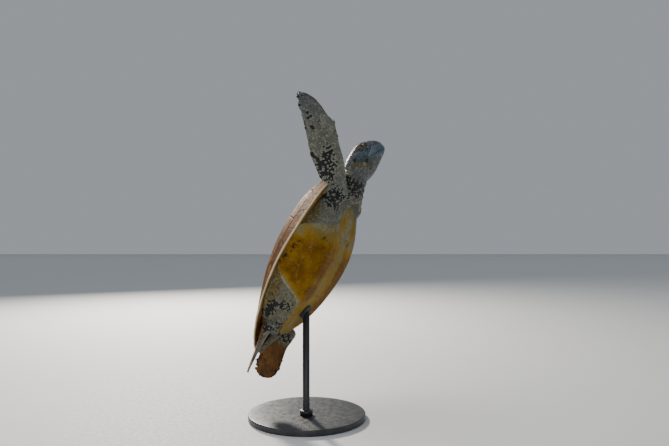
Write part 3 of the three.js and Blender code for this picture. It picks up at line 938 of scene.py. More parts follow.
class Markings:
    """The skin's colouring, from one set of rules for the skin and for the scales on it."""

    @staticmethod
    def limb_share(blade: Blade, local: Array) -> Array:
        """How far a point belongs to a limb, from its place in the limb's frame."""
        share = local[:, 0] / blade.length
        fore, aft = along(blade.stations, share, 1), along(blade.stations, share, 2)
        across = (local[:, 1] < fore + 0.02) & (local[:, 1] > -aft - 0.02)
        near = np.abs(local[:, 2]) < along(blade.stations, share, 3) + 0.015
        return smoothstep(share, 0.02, 0.16) * (share < 1.05) * across * near

    @staticmethod
    def head_share(local: Array) -> Array:
        """How far a point belongs to the head."""
        near = np.linalg.norm(local - np.array([0.1, 0, 0]), axis=-1) < 0.14
        return smoothstep(local[:, 0], -0.005, 0.03) * near

    def at(self, points: Array, normals: Array) -> dict[str, Array]:
        """Back, dark, warm and cool shares of the colouring at points of the skin.

        Args:
            points: places in the turtle's frame.
            normals: outward directions there.

        Returns:
            back, from 0 on the pale underside to 1 on the brown upper side; dark, the dark
            patches; warm, the yellow-brown tint; cool, the dusky grey of the cheeks.
        """
        wobble = 0.2 * waves(points, 0.035, 5)
        back = smoothstep(normals[:, 2] + wobble, 0.15, 0.65)
        dark = sum(blot.at(points) for blot in BODY_BLOTS)
        x, y = points[:, 0], points[:, 1]
        beside = smoothstep(SHELL.lateral(x, y), 0.77, 0.86) * (np.abs(x + 0.04) < 0.27)
        warm = 0.18 + 0.20 * (1 - smoothstep(x, -0.16, -0.04)) + 0.60 * beside * smoothstep(x, -0.3, -0.14)
        warm = np.minimum(warm, 0.82)
        skull = HEAD.local(points)
        share = self.head_share(skull)
        band = skull[:, 2] + 1.3 * (skull[:, 0] - 0.06) + 0.004 * waves(points, 0.02, 9)
        olive = bell(band, 0.002, 0.012) * smoothstep(np.abs(skull[:, 1]), 0.012, 0.035)
        face = smoothstep(band, 0.008, 0.022) * smoothstep(skull[:, 2], -0.05, -0.02)
        cool = share * np.maximum(face, 0.5) * (1 - smoothstep(skull[:, 2], 0.036, 0.05))
        back = back * (1 - share) + share * smoothstep(skull[:, 2] + 0.006 * wobble, 0.034, 0.054)
        dark = dark * (1 - share) + share * sum(blot.at(skull) for blot in HEAD_BLOTS)
        warm = warm * (1 - share) + share * (0.08 + 0.66 * olive)
        for blade in BLADES:
            local = blade.local(points)
            way = normals @ blade.axes().T
            share = self.limb_share(blade, local)
            blots = FRONT_BLOTS if blade.name.startswith("front") else HIND_BLOTS
            face = smoothstep(way[:, 2] * blade.dorsal + wobble, -0.15, 0.4)
            back = back * (1 - share) + share * face
            dark = dark * (1 - share) + share * sum(blot.at(local) for blot in blots)
            tint = 0.95 if blade.name == "hind_left" else 0.14
            warm = warm * (1 - share) + share * tint * smoothstep(local[:, 0] / blade.length, 0.1, 0.4)
            cool = np.maximum(cool, 0.62 * share * smoothstep(local[:, 0], 0.3, 0.46))
        return {"back": back, "dark": np.clip(dark, 0, 1), "warm": np.clip(warm, 0, 1), "cool": cool}


MARKS = Markings()


# ---------------------------------------------------------------- scales


@dataclass(frozen=True)
class ScaleStyle:
    """How the scales of a coat sit: their size, height and how much of their room they fill."""

    spacing: float = 0.010
    height: float = 0.0007
    sunk: float = 0.0022
    fill: float = 0.97
    edge_spread: float = 0.0
    jitter: float = 0.16
    row_step: float = 0.87
    directions: int = 12
    rings: tuple[float, ...] = (0.62, 0.93)
    neighbours: int = 16
    least: float = 0.0015


@dataclass
class ScaleCoat:
    """Scales on a loft, one for each seed, each filling its own cell between its neighbours."""

    loft: Loft
    style: ScaleStyle
    bounds: Place = (0.0, 1.0)
    extra: Array | None = None
    density: Callable[[Array], Array] | None = None
    ground: BVHTree | None = None
    depth: float = 0.0016
    reach: float = 0.022

    def seated(self, points: Array, root: Array, outward: Array) -> tuple[Array, Array, Array]:
        """Moves and turns scales that the skin's blends have left behind onto the skin.

        A scale's points p about its root turn from its own outward way to the skin's by
        p c + k x p + k (k.p) / (1 + c), with k the two ways' cross product and c their dot product.

        Args:
            points: scales by rings by directions.
            root: their roots on the loft.
            outward: the loft's outward ways there.

        Returns:
            The points, the roots and which scales have skin near them that faces their way.
        """
        found = [self.ground.find_nearest(place) for place in root.tolist()]
        skin, way = np.array([f[0][:] for f in found]), np.array([f[1][:] for f in found])
        skin = skin + way * self.depth
        off = np.linalg.norm(skin - root, axis=1)
        share = smoothstep(off, 0.0012, 0.003)[:, None]
        cosine = (outward * way).sum(axis=1)
        axis = np.cross(outward, way)[:, None, None]
        away = points - root[:, None, None]
        lean = np.maximum(1 + cosine, 0.2)[:, None, None, None]
        turned = away * cosine[:, None, None, None] + np.cross(axis, away)
        turned = turned + axis * (axis * away).sum(axis=-1, keepdims=True) / lean
        moved = skin[:, None, None] + turned
        points = points + (moved - points) * share[..., None, None]
        return points, root + (skin - root) * share, (cosine > 0.3) & (off < self.reach)

    def lattice(self) -> Array:
        """Seeds in staggered rings along the loft, jittered, as rows of u and v."""
        loft, style = self.loft, self.style
        draw = np.random.default_rng(SEED)
        low, high = (np.interp(np.arccos(1 - 2 * b) / math.pi, loft.u, loft.run) for b in self.bounds)
        seeds, place, ring = [], low + style.spacing * 0.5, 0
        while place < high:
            u = np.interp(place, loft.run, loft.u)
            step = style.spacing * (float(self.density(eased(u))) if self.density else 1.0)
            count = max(5, round(float(np.interp(u, loft.u, loft.girth)) / step))
            v = (np.arange(count) + 0.5 * (ring % 2) + style.jitter * draw.uniform(-1, 1, count)) / count
            v = v + style.edge_spread / (2 * TURN) * np.sin(2 * TURN * v)
            shift = style.jitter * step * draw.uniform(-1, 1, count)
            row_u = np.interp(place + shift, loft.run, loft.u)
            seeds.append(vec(row_u, v % 1))
            place += step * style.row_step
            ring += 1
        return np.concatenate(seeds)

    def offsets(self, seeds: Array, others: Array) -> Array:
        """Steps over the loft from each seed to each other place, along it and round it."""
        loft = self.loft
        run, other_run = (np.interp(places[:, 0], loft.u, loft.run) for places in (seeds, others))
        across = others[None, :, 1] - seeds[:, None, 1]
        across -= np.round(across)
        girth = np.interp(seeds[:, 0], loft.u, loft.girth)
        return vec(other_run[None] - run[:, None], across * girth[:, None])

    def cells(self, seeds: Array) -> tuple[Array, Array]:
        """Reach of each seed's cell in each direction, half way to its nearest neighbours there.

        For a neighbour at offset d, the cell's side lies at d.d / (2 d.e) along direction e.

        Args:
            seeds: rows of u and v.

        Returns:
            The reach, seeds by directions, and the sizes of a unit step of u and of v.
        """
        loft, style = self.loft, self.style
        offset = self.offsets(seeds, seeds)
        far = (offset**2).sum(axis=-1)
        np.fill_diagonal(far, np.inf)
        count = min(style.neighbours, len(seeds) - 1)
        near = np.argpartition(far, count - 1, axis=1)[:, :count]
        offset = np.take_along_axis(offset, near[..., None], axis=1)
        ahead = np.maximum(offset @ compass(circle(style.directions)).T, 1e-5)
        reach = ((offset**2).sum(axis=-1)[..., None] / (2 * ahead)).min(axis=1)
        limit = 1.25 * np.sqrt(np.sort(far, axis=1)[:, min(2, count - 1)])[:, None]
        speed = np.interp(seeds[:, 0], loft.u, np.gradient(loft.run, loft.u))
        girth = np.interp(seeds[:, 0], loft.u, loft.girth)
        return np.minimum(reach, limit), vec(np.maximum(speed, 0.02), np.maximum(girth, 0.002))

    def form(self, keep: Reading) -> Form:
        """All the scales: rings from a low dome's top out to a sunk skirt, closed below.

        Args:
            keep: says of seed points and normals which scales are kept.

        Returns:
            The joined scales with their markings and bake map.
        """
        loft, style = self.loft, self.style
        seeds = self.lattice()
        if self.extra is not None:
            step = self.offsets(seeds, self.extra)
            clear = (np.hypot(step[..., 0], step[..., 1]) > self.extra[None, :, 2]).all(axis=1)
            seeds = np.concatenate([self.extra[:, :2], seeds[clear]])
        reach, speed = self.cells(seeds)
        root = loft.point(seeds[:, 0], seeds[:, 1])
        kept = keep(root, loft.out(seeds[:, 0], seeds[:, 1])) & (reach.mean(axis=1) > style.least)
        seeds, reach, speed, root = seeds[kept], reach[kept], speed[kept], root[kept]
        size = reach.mean(axis=1)
        angle = circle(style.directions)
        ring = np.array([0.0, *style.rings, 1.0, 0.9, 0.0])
        high = np.array([1.0, *(1 - 0.7 * np.array(style.rings) ** 7), -0.5, -1.0, -1.0])
        spread = ring[None, :, None] * reach[:, None] * style.fill
        u = seeds[:, 0, None, None] + spread * np.cos(angle) / speed[:, 0, None, None]
        v = seeds[:, 1, None, None] + spread * np.sin(angle) / speed[:, 1, None, None]
        lift = np.where(high > 0, high * style.height, -high * -style.sunk)
        crown = np.clip(size / style.spacing, 0.5, 1.6)[:, None, None]
        lift = lift[None, :, None] * np.where(high[None, :, None] > 0, crown, 1.0)
        points = loft.point(u, v) + loft.out(u, v) * lift[..., None]
        points, root, near = self.seated(points, root, loft.out(seeds[:, 0], seeds[:, 1]))
        return self.bodies(points[near], ring, seeds[near], root[near])

    def bodies(self, points: Array, ring: Array, seeds: Array, root: Array) -> Form:
        """Puts faces on rings of points, scales by rings by directions, whose end rings are poles."""
        count, rings, ways = points.shape[:3]
        each = (rings - 2) * ways + 2
        inner = points[:, 1:-1].reshape(count, -1, 3)
        flat = np.concatenate([points[:, :1, 0], inner, points[:, -1:, 0]], axis=1)
        starts = (np.arange(count) * each)[:, None, None]
        faces = shifted(capped_faces(rings, ways)[None], starts).reshape(-1, 4)
        outward = self.loft.out(seeds[:, 0], seeds[:, 1])
        marks = MARKS.at(root, outward)
        draw = np.random.default_rng(SEED + count)
        tone = draw.uniform(0, 1, count)
        chance = 0.012 + 0.68 * smoothstep(marks["dark"], 0.1, 0.75)
        speck = smoothstep(chance - draw.uniform(0, 1, count), -0.03, 0.03)
        tone = np.where((marks["dark"] > 0.3) & (speck < 0.5), 0.6 + 0.4 * tone, tone)
        rim = np.concatenate([[ring[0]], np.repeat(ring[1:-1], ways), [ring[-1]]])
        rounds = [r * compass(circle(ways)) for r in ring[1:-1]]
        disc = np.concatenate([[[0.0, 0.0]], *rounds, [[0.0, 0.0]]])
        bake = vec(seeds[:, 1], seeds[:, 0])[:, None] * 0.99 + 0.005 + BAKE_PATCH * disc[None]
        values = {name: np.repeat(value, each) for name, value in marks.items()}
        values |= {
            "tone": np.repeat(tone, each), "speck": np.repeat(speck, each),
            "edge": np.tile(rim, count), BAKE_MAP: bake.reshape(-1, 2),
        }
        return Form(flat.reshape(-1, 3), faces, values).facing_out()


# ---------------------------------------------------------------- finishes


class Tree:
    """Short ways to build the nodes of a material or a node group."""

    def __init__(self, tree: bpy.types.NodeTree) -> None:
        """Takes the tree to build in."""
        self.tree = tree

    def add(self, kind: str, inputs: dict[str | int, object] | None = None, **settings: object) -> Node:
        """Adds a node, sets its properties, and sets or links its inputs.

        Args:
            kind: the node's type without the ShaderNode prefix.
            inputs: socket name or number to a value or to the socket that feeds it.
            settings: the node's properties.

        Returns:
            The node.
        """
        node = self.tree.nodes.new("ShaderNode" + kind)
        for name, value in settings.items():
            setattr(node, name, value)
        for name, value in (inputs or {}).items():
            if isinstance(value, Socket):
                self.tree.links.new(value, node.inputs[name])
            else:
                node.inputs[name].default_value = value
        return node

    def place(self) -> Socket:
        """Object coordinates."""
        return self.add("TexCoord").outputs["Object"]

    def value_of(self, name: str, output: str = "Fac") -> Socket:
        """The number, or vector, that the mesh holds under a name."""
        return self.add("Attribute", attribute_name=name).outputs[output]

    def noise(
        self, scale: object, detail: float = 4, rough: float = 0.55,
        vector: Socket | None = None, output: str = "Fac",
    ) -> Socket:
        """Noise on Object coordinates or on a given vector."""
        inputs = {"Vector": vector or self.place(), "Scale": scale, "Detail": detail, "Roughness": rough}
        return self.add("TexNoise", inputs).outputs[output]

    def math(self, operation: str, *values: object) -> Socket:
        """A sum, product or other sum-like step on numbers or sockets."""
        return self.add("Math", dict(enumerate(values)), operation=operation).outputs[0]

    def span(self, value: object, low: float, high: float, start: float = 0, end: float = 1) -> Socket:
        """Maps low..high smoothly to start..end, and holds the ends beyond it."""
        inputs = {"Value": value, "From Min": low, "From Max": high, "To Min": start, "To Max": end}
        return self.add("MapRange", inputs, interpolation_type="SMOOTHSTEP").outputs["Result"]

    def mix(self, share: object, a: object, b: object, blend: str = "MIX") -> Socket:
        """Mixes two colours, each given as (r, g, b) or as a socket."""
        full = [(*c, 1.0) if isinstance(c, tuple) else c for c in (a, b)]
        node = self.add("Mix", {0: share, 6: full[0], 7: full[1]}, data_type="RGBA", blend_type=blend)
        return node.outputs[2]

    def ramp(self, value: object, *stops: tuple[float, Point]) -> Socket:
        """A colour ramp through places and colours."""
        node = self.add("ValToRGB", {0: value})
        elements = node.color_ramp.elements
        for place, _ in stops[2:]:
            elements.new(place)
        for element, (place, colour) in zip(elements, sorted(stops)):
            element.position = place
            element.color = (*colour, 1.0)
        return node.outputs["Color"]

    def bump(self, height: object, strength: float, distance: float, normal: object = None) -> Socket:
        """A bump from a height."""
        inputs = {"Height": height, "Strength": strength, "Distance": distance}
        if normal is not None:
            inputs["Normal"] = normal
        return self.add("Bump", inputs).outputs["Normal"]

    def group(self, name: str, output: str, inputs: dict[str, object]) -> Socket:
        """Places a node group, feeds it, and reads one of its outputs."""
        return self.add("Group", inputs, node_tree=bpy.data.node_groups[name]).outputs[output]

    def weathered(self, colour: Socket, amount: float) -> Socket:
        """A colour through the shared weathering."""
        return self.group("weathering", "Color", {"Color": colour, "Amount": amount})


def new_group(name: str, inputs: dict[str, str], outputs: dict[str, str]) -> tuple[Tree, dict, Node]:
    """A node group with named sockets of kinds Float, Color or Vector.

    Returns:
        Its tree, its input sockets by name, and its output node.
    """
    made = bpy.data.node_groups.new(name, "ShaderNodeTree")
    for way, sockets in (("INPUT", inputs), ("OUTPUT", outputs)):
        for key, kind in sockets.items():
            made.interface.new_socket(name=key, in_out=way, socket_type="NodeSocket" + kind)
    given = made.nodes.new("NodeGroupInput")
    result = made.nodes.new("NodeGroupOutput")
    return Tree(made), {key: given.outputs[key] for key in inputs}, result


def build_groups() -> None:
    """The two effects that several finishes share: weathering of a colour and fine relief."""
    tree, given, result = new_group("weathering", {"Color": "Color", "Amount": "Float"}, {"Color": "Color"})
    broad = tree.span(tree.noise(9, 5, 0.6), 0.35, 0.7)
    fine = tree.span(tree.noise(140, 4, 0.65), 0.38, 0.68)
    amount = given["Amount"]
    dull = tree.mix(tree.math("MULTIPLY", broad, amount), given["Color"], (0.30, 0.29, 0.25), "MULTIPLY")
    speckled = tree.mix(tree.math("MULTIPLY", fine, amount), dull, (0.62, 0.58, 0.5), "MULTIPLY")
    tree.tree.links.new(speckled, result.inputs["Color"])

    tree, given, result = new_group("relief", {"Scale": "Float", "Depth": "Float"}, {"Height": "Float"})
    place = tree.place()
    coarse = tree.noise(given["Scale"], 5.0, 0.6, place)
    creased = tree.add("TexVoronoi", {"Vector": place, "Scale": given["Scale"]}, feature="DISTANCE_TO_EDGE")
    crease = tree.span(creased.outputs["Distance"], 0.0, 0.12)
    total = tree.math("MULTIPLY_ADD", crease, 0.35, coarse)
    tree.tree.links.new(tree.math("MULTIPLY", total, given["Depth"]), result.inputs["Height"])


@dataclass(frozen=True)
class Finish:
    """A named material: subclasses build its colour and relief."""

    name: str
    roughness: float = 0.5
    metallic: float = 0.0
    coat: float = 0.0
    specular: float = 0.5
    subsurface: float = 0.0

    def build(self) -> Material:
        """Makes the material with one Principled shader, fed by colour(), rough() and relief()."""
        made = bpy.data.materials.new(self.name)
        made.use_nodes = True
        made.node_tree.nodes.clear()
        tree = Tree(made.node_tree)
        inputs = {
            "Base Color": self.colour(tree), "Roughness": self.rough(tree), "Metallic": self.metallic,
            "Coat Weight": self.coat, "Coat Roughness": 0.12, "Specular IOR Level": self.specular,
            "Subsurface Weight": self.subsurface, "Normal": self.relief(tree),
        }
        if self.subsurface:
            inputs |= {"Subsurface Radius": (0.004, 0.002, 0.001), "Subsurface Scale": 1.0}
        tree.add("OutputMaterial", {"Surface": tree.add("BsdfPrincipled", inputs).outputs["BSDF"]})
        return made

    def colour(self, tree: Tree) -> object:
        """The base colour."""
        raise NotImplementedError

    def rough(self, tree: Tree) -> object:
        """Roughness that varies a little over the surface."""
        return tree.span(tree.noise(60, 3), 0.3, 0.75, self.roughness - 0.08, self.roughness + 0.1)

    def relief(self, tree: Tree) -> object:
        """The bump normal."""
        height = tree.group("relief", "Height", {"Scale": 220.0, "Depth": 1.0})
        return tree.bump(height, 0.25, 0.0004)


@dataclass(frozen=True)
class SkinFinish(Finish):
    """Turtle skin: pale below, red-brown above, with dark patches. Scales or the skin between."""

    specular: float = 0.22
    subsurface: float = 0.06
    scales: bool = True

    def colour(self, tree: Tree) -> object:
        """Pale and brown sides, tinted warm, dark in the patches, and paler round each scale."""
        back, warm, cool, tone = (tree.value_of(n) for n in ("back", "warm", "cool", "tone"))
        cloud = tree.noise(26, 5, 0.6)
        belly = tree.ramp(
            tone, (0.0, (0.112, 0.123, 0.112)), (0.55, (0.158, 0.170, 0.152)), (1.0, (0.24, 0.250, 0.216))
        )
        dusky = tree.ramp(
            tone, (0.0, (0.017, 0.037, 0.060)), (0.6, (0.033, 0.064, 0.100)), (1.0, (0.064, 0.104, 0.142))
        )
        belly = tree.mix(cool, belly, dusky)
        brown = tree.ramp(
            tone, (0.0, (0.085, 0.06, 0.012)), (0.6, (0.155, 0.112, 0.02)), (1.0, (0.22, 0.165, 0.05))
        )
        rust = tree.mix(tree.span(cloud, 0.3, 0.7), (0.075, 0.022, 0.001), (0.19, 0.075, 0.003))
        brown = tree.mix(tree.span(warm, 0.8, 0.95), brown, rust)
        belly = tree.mix(warm, belly, brown)
        upper = tree.ramp(
            tone, (0.0, (0.05, 0.024, 0.014)), (0.5, (0.12, 0.052, 0.023)), (1.0, (0.20, 0.092, 0.036))
        )
        turned = tree.span(tree.math("MULTIPLY_ADD", cloud, 0.3, back), 0.35, 0.85)
        side = tree.mix(turned, belly, upper)
        if self.scales:
            speck = tree.value_of("speck")
            edge = tree.value_of("edge")
            pale = tree.mix(back, (0.235, 0.238, 0.195), (0.25, 0.155, 0.07))
            pale = tree.mix(warm, pale, (0.17, 0.085, 0.010))
            pale = tree.mix(cool, pale, (0.085, 0.112, 0.122))
            dark = tree.mix(tree.span(cloud, 0.4, 0.7), (0.006, 0.007, 0.011), (0.014, 0.016, 0.020))
            side = tree.mix(speck, side, dark)
            wide = tree.math("MULTIPLY_ADD", cool, 0.16, edge)
            strong = tree.math("MULTIPLY_ADD", cool, 0.2, tree.span(speck, 0, 1, 0.5, 0.26))
            rim = tree.math("MULTIPLY", tree.span(wide, 0.80, 0.98), strong)
            side = tree.mix(rim, side, pale)
        else:
            patch = tree.span(tree.math("MULTIPLY_ADD", cloud, 0.4, tree.value_of("dark")), 0.5, 0.8)
            side = tree.mix(tree.span(warm, 0, 1, 0.35, 0.0), side, (0.185, 0.185, 0.15))
            side = tree.mix(patch, side, (0.023, 0.025, 0.028))
            grains = tree.add("TexVoronoi", {"Vector": tree.place(), "Scale": 150.0})
            dots = tree.span(grains.outputs["Distance"], 0.2, 0.6, 0.0, 0.25)
            side = tree.mix(dots, side, (0.15, 0.14, 0.11))
        return tree.weathered(side, 0.22)

    def relief(self, tree: Tree) -> object:
        """Fine pores on scales, and wrinkles and grains on the skin between them."""
        fine = tree.group("relief", "Height", {"Scale": 420.0 if self.scales else 150.0, "Depth": 1.0})
        if self.scales:
            return tree.bump(fine, 0.22, 0.0004)
        folds = tree.noise(45, 6, 0.7)
        rough = tree.bump(folds, 0.5, 0.003)
        return tree.bump(fine, 0.55, 0.0012, rough)


@dataclass(frozen=True)
class CarapaceFinish(Finish):
    """Red-brown horn with rays from each plate's growth centre, amber below, and a cream band painted round
    the rim's turn as a highlight.
    """

    specular: float = 0.006

    def colour(self, tree: Tree) -> object:
        """Rays and mottles over the plate's own tone, dark in the seam, with a painted cream highlight on
        the rim.
        """
        ray = tree.value_of("streak", "Vector")
        swirl = tree.noise(14, 4, 0.5, output="Color")
        bent = tree.add("MixRGB", {"Fac": 0.045, "Color1": ray, "Color2": swirl})
        rays = tree.noise(7.5, 6, 0.66, bent.outputs["Color"])
        cloud = tree.noise(11, 7, 0.66)
        fleck = tree.noise(70, 5, 0.7)
        seam, tone = tree.value_of("seam"), tree.value_of("tone")
        mixed = tree.math("MULTIPLY_ADD", rays, 0.38, tree.math("MULTIPLY", cloud, 0.42))
        mixed = tree.math("MULTIPLY_ADD", fleck, 0.2, mixed)
        mixed = tree.math("MULTIPLY_ADD", tone, 0.05, mixed)
        horn = tree.ramp(
            mixed, (0.38, (0.030, 0.014, 0.009)), (0.47, (0.085, 0.035, 0.015)),
            (0.54, (0.19, 0.085, 0.032)), (0.61, (0.31, 0.16, 0.06)), (0.70, (0.44, 0.28, 0.125)),
        )
        film = tree.span(tree.noise(4.5, 6, 0.7), 0.46, 0.66)
        film = tree.math("MULTIPLY", film, tree.span(fleck, 0.35, 0.65))
        horn = tree.mix(tree.math("MULTIPLY", film, 0.5), horn, (0.15, 0.125, 0.075))
        crack = tree.math("MULTIPLY", tree.span(seam, 0.0002, 0.0022, 0.7, 0.0), tree.span(fleck, 0.3, 0.5))
        crack = tree.math("MAXIMUM", crack, tree.span(seam, 0.0004, 0.0045, 0.92, 0.0))
        horn = tree.mix(crack, horn, (0.045, 0.023, 0.012))
        amber = tree.ramp(
            mixed, (0.4, (0.12, 0.05, 0.012)), (0.52, (0.24, 0.125, 0.028)), (0.62, (0.31, 0.21, 0.075))
        )
        horn = tree.mix(tree.value_of("under"), horn, amber)
        # painted highlight: a pale cream band round the rim's turn, standing in for backlight catching the
        # edge
        lip = tree.math("MULTIPLY", tree.value_of("lip"), tree.span(cloud, 0.3, 0.5, 0.7, 1.0))
        horn = tree.mix(lip, horn, (0.86, 0.74, 0.52))
        return tree.weathered(horn, 0.45)

    def relief(self, tree: Tree) -> object:
        """Fine scratches and grain of old horn."""
        ray = tree.value_of("streak", "Vector")
        rays = tree.bump(tree.noise(16, 5, 0.6, ray), 0.35, 0.0007)
        worn = tree.bump(tree.noise(48, 6, 0.72), 0.4, 0.0016, rays)
        wander = tree.math("MULTIPLY", tree.noise(30, 3), 9.0)
        turns = tree.math("MULTIPLY_ADD", tree.value_of("seam"), 1500.0, wander)
        grown = tree.bump(tree.math("SINE", turns), 0.08, 0.0005, worn)
        return tree.bump(tree.noise(380, 4, 0.7), 0.3, 0.0004, grown)


@dataclass(frozen=True)
class PlastronFinish(Finish):
    """Cream to amber horn, orange-brown in the middle of the plates, with pale seams."""

    specular: float = 0.02

    def colour(self, tree: Tree) -> object:
        """Cloudy amber over cream, by the mesh's own stain and painted shade, paler at the seams, with dark
        flecks.
        """
        cloud = tree.noise(19, 7, 0.66)
        fine = tree.noise(85, 6, 0.7)
        stain, seam, tone = (tree.value_of(n) for n in ("stain", "seam", "tone"))
        mixed = tree.math("ADD", stain, tree.math("MULTIPLY_ADD", cloud, 1.3, -0.65))
        mixed = tree.math("ADD", mixed, tree.math("MULTIPLY_ADD", fine, 0.6, -0.3))
        mixed = tree.math("MULTIPLY_ADD", tone, 0.06, mixed)
        horn = tree.ramp(
            mixed, (0.03, (0.275, 0.275, 0.205)), (0.22, (0.225, 0.185, 0.078)),
            (0.42, (0.28, 0.18, 0.025)), (0.66, (0.27, 0.140, 0.010)), (0.95, (0.16, 0.072, 0.006)),
        )
        pale = tree.math("MULTIPLY", tree.span(seam, 0.0004, 0.0026, 0.3, 0.0), tree.span(fine, 0.4, 0.62))
        horn = tree.mix(pale, horn, (0.46, 0.37, 0.19))
        ink = tree.value_of("ink")
        flecks = tree.math("MULTIPLY", ink, tree.span(tree.noise(95, 2, 0.5), 0.50, 0.56))
        horn = tree.mix(flecks, horn, (0.035, 0.022, 0.014))
        return tree.weathered(horn, 0.3)

    def relief(self, tree: Tree) -> object:
        """Low waves and fine scratches."""
        low = tree.bump(tree.noise(38, 4), 0.3, 0.002)
        fine = tree.group("relief", "Height", {"Scale": 190.0, "Depth": 1.0})
        return tree.bump(fine, 0.25, 0.0005, low)


@dataclass(frozen=True)
class HornFinish(Finish):
    """Beak and claw horn, streaked along the growth and darker to one side."""

    dark: Point = (0.029, 0.046, 0.062)
    pale: Point = (0.080, 0.117, 0.150)
    share: float = 0.42

    def colour(self, tree: Tree) -> object:
        """Fine streaks of the two colours, drawn out along X, and nearly black where the mesh says."""
        drawn = tree.add("Mapping", {"Vector": tree.place(), "Scale": (0.3, 1.0, 1.0)}).outputs["Vector"]
        streaks = tree.noise(260, 5, 0.65, drawn)
        cloud = tree.noise(40, 5)
        both = tree.math("MULTIPLY_ADD", streaks, 0.6, tree.math("MULTIPLY", cloud, 0.4))
        horn = tree.mix(tree.span(both, self.share - 0.14, self.share + 0.14), self.dark, self.pale)
        shade = tree.math("ADD", tree.value_of("dark"), tree.math("MULTIPLY_ADD", cloud, 0.5, -0.25))
        horn = tree.mix(tree.span(shade, 0.2, 0.95), horn, (0.035, 0.034, 0.031))
        return tree.weathered(horn, 0.25)


@dataclass(frozen=True)
class EyeFinish(Finish):
    """Wet eye: a black pupil in a dark brown iris, with a paler thread round the iris."""

    def colour(self, tree: Tree) -> object:
        """Rings by the mesh's own share of the eye's radius, with iris fibres."""
        place = tree.value_of("pupil")
        fibres = tree.noise(900, 3)
        iris = tree.mix(fibres, (0.016, 0.009, 0.005), (0.06, 0.033, 0.013))
        inner = tree.mix(tree.span(place, 0.26, 0.30), (0.002, 0.002, 0.002), iris)
        return tree.mix(tree.span(place, 0.56, 0.64), inner, (0.02, 0.014, 0.011))

    def rough(self, tree: Tree) -> object:
        """The same wet gloss all over."""
        return self.roughness

    def relief(self, tree: Tree) -> object:
        """Hardly any relief."""
        return tree.bump(tree.noise(300, 2), 0.02, 0.0001)


@dataclass(frozen=True)
class SteelFinish(Finish):
    """Powder-coated steel with a fine orange-peel and faint handling marks."""

    tint: Point = (0.035, 0.037, 0.041)
    worn: Point = (0.075, 0.077, 0.082)

    def colour(self, tree: Tree) -> object:
        """The coat's colour with faint cloudy wear."""
        return tree.mix(tree.span(tree.noise(14, 6, 0.7), 0.45, 0.75, 0.0, 0.6), self.tint, self.worn)

    def relief(self, tree: Tree) -> object:
        """Orange-peel."""
        return tree.bump(tree.noise(1300, 3, 0.5), 0.12, 0.0002)


@dataclass(frozen=True)
class FloorFinish(Finish):
    """Plain pale studio floor."""

    def colour(self, tree: Tree) -> object:
        """Pale grey with hardly visible clouds."""
        return tree.mix(tree.noise(1.5, 3), (0.66, 0.67, 0.68), (0.70, 0.71, 0.715))

    def relief(self, tree: Tree) -> object:
        """Hardly any relief."""
        return tree.bump(tree.noise(80, 3), 0.04, 0.0005)


# ---------------------------------------------------------------- the sub-assemblies


def add_piece(
    name: str, form: Form, material: Material, replaced: tuple[str, ...] = (),
) -> None:
    """Makes a piece of the model from a form in world place, hangs it on the body and hides the CAD nodes
    that it stands for.

    Args:
        name: the piece's name.
        form: its mesh.
        material: its finish.
        replaced: CAD nodes that it stands for.
    """
    made = new_object(name, form, material)
    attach(made, BODY)
    if replaced:
        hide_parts(*replaced)
    LOG.info("%s: %d triangles", name, form.triangles())


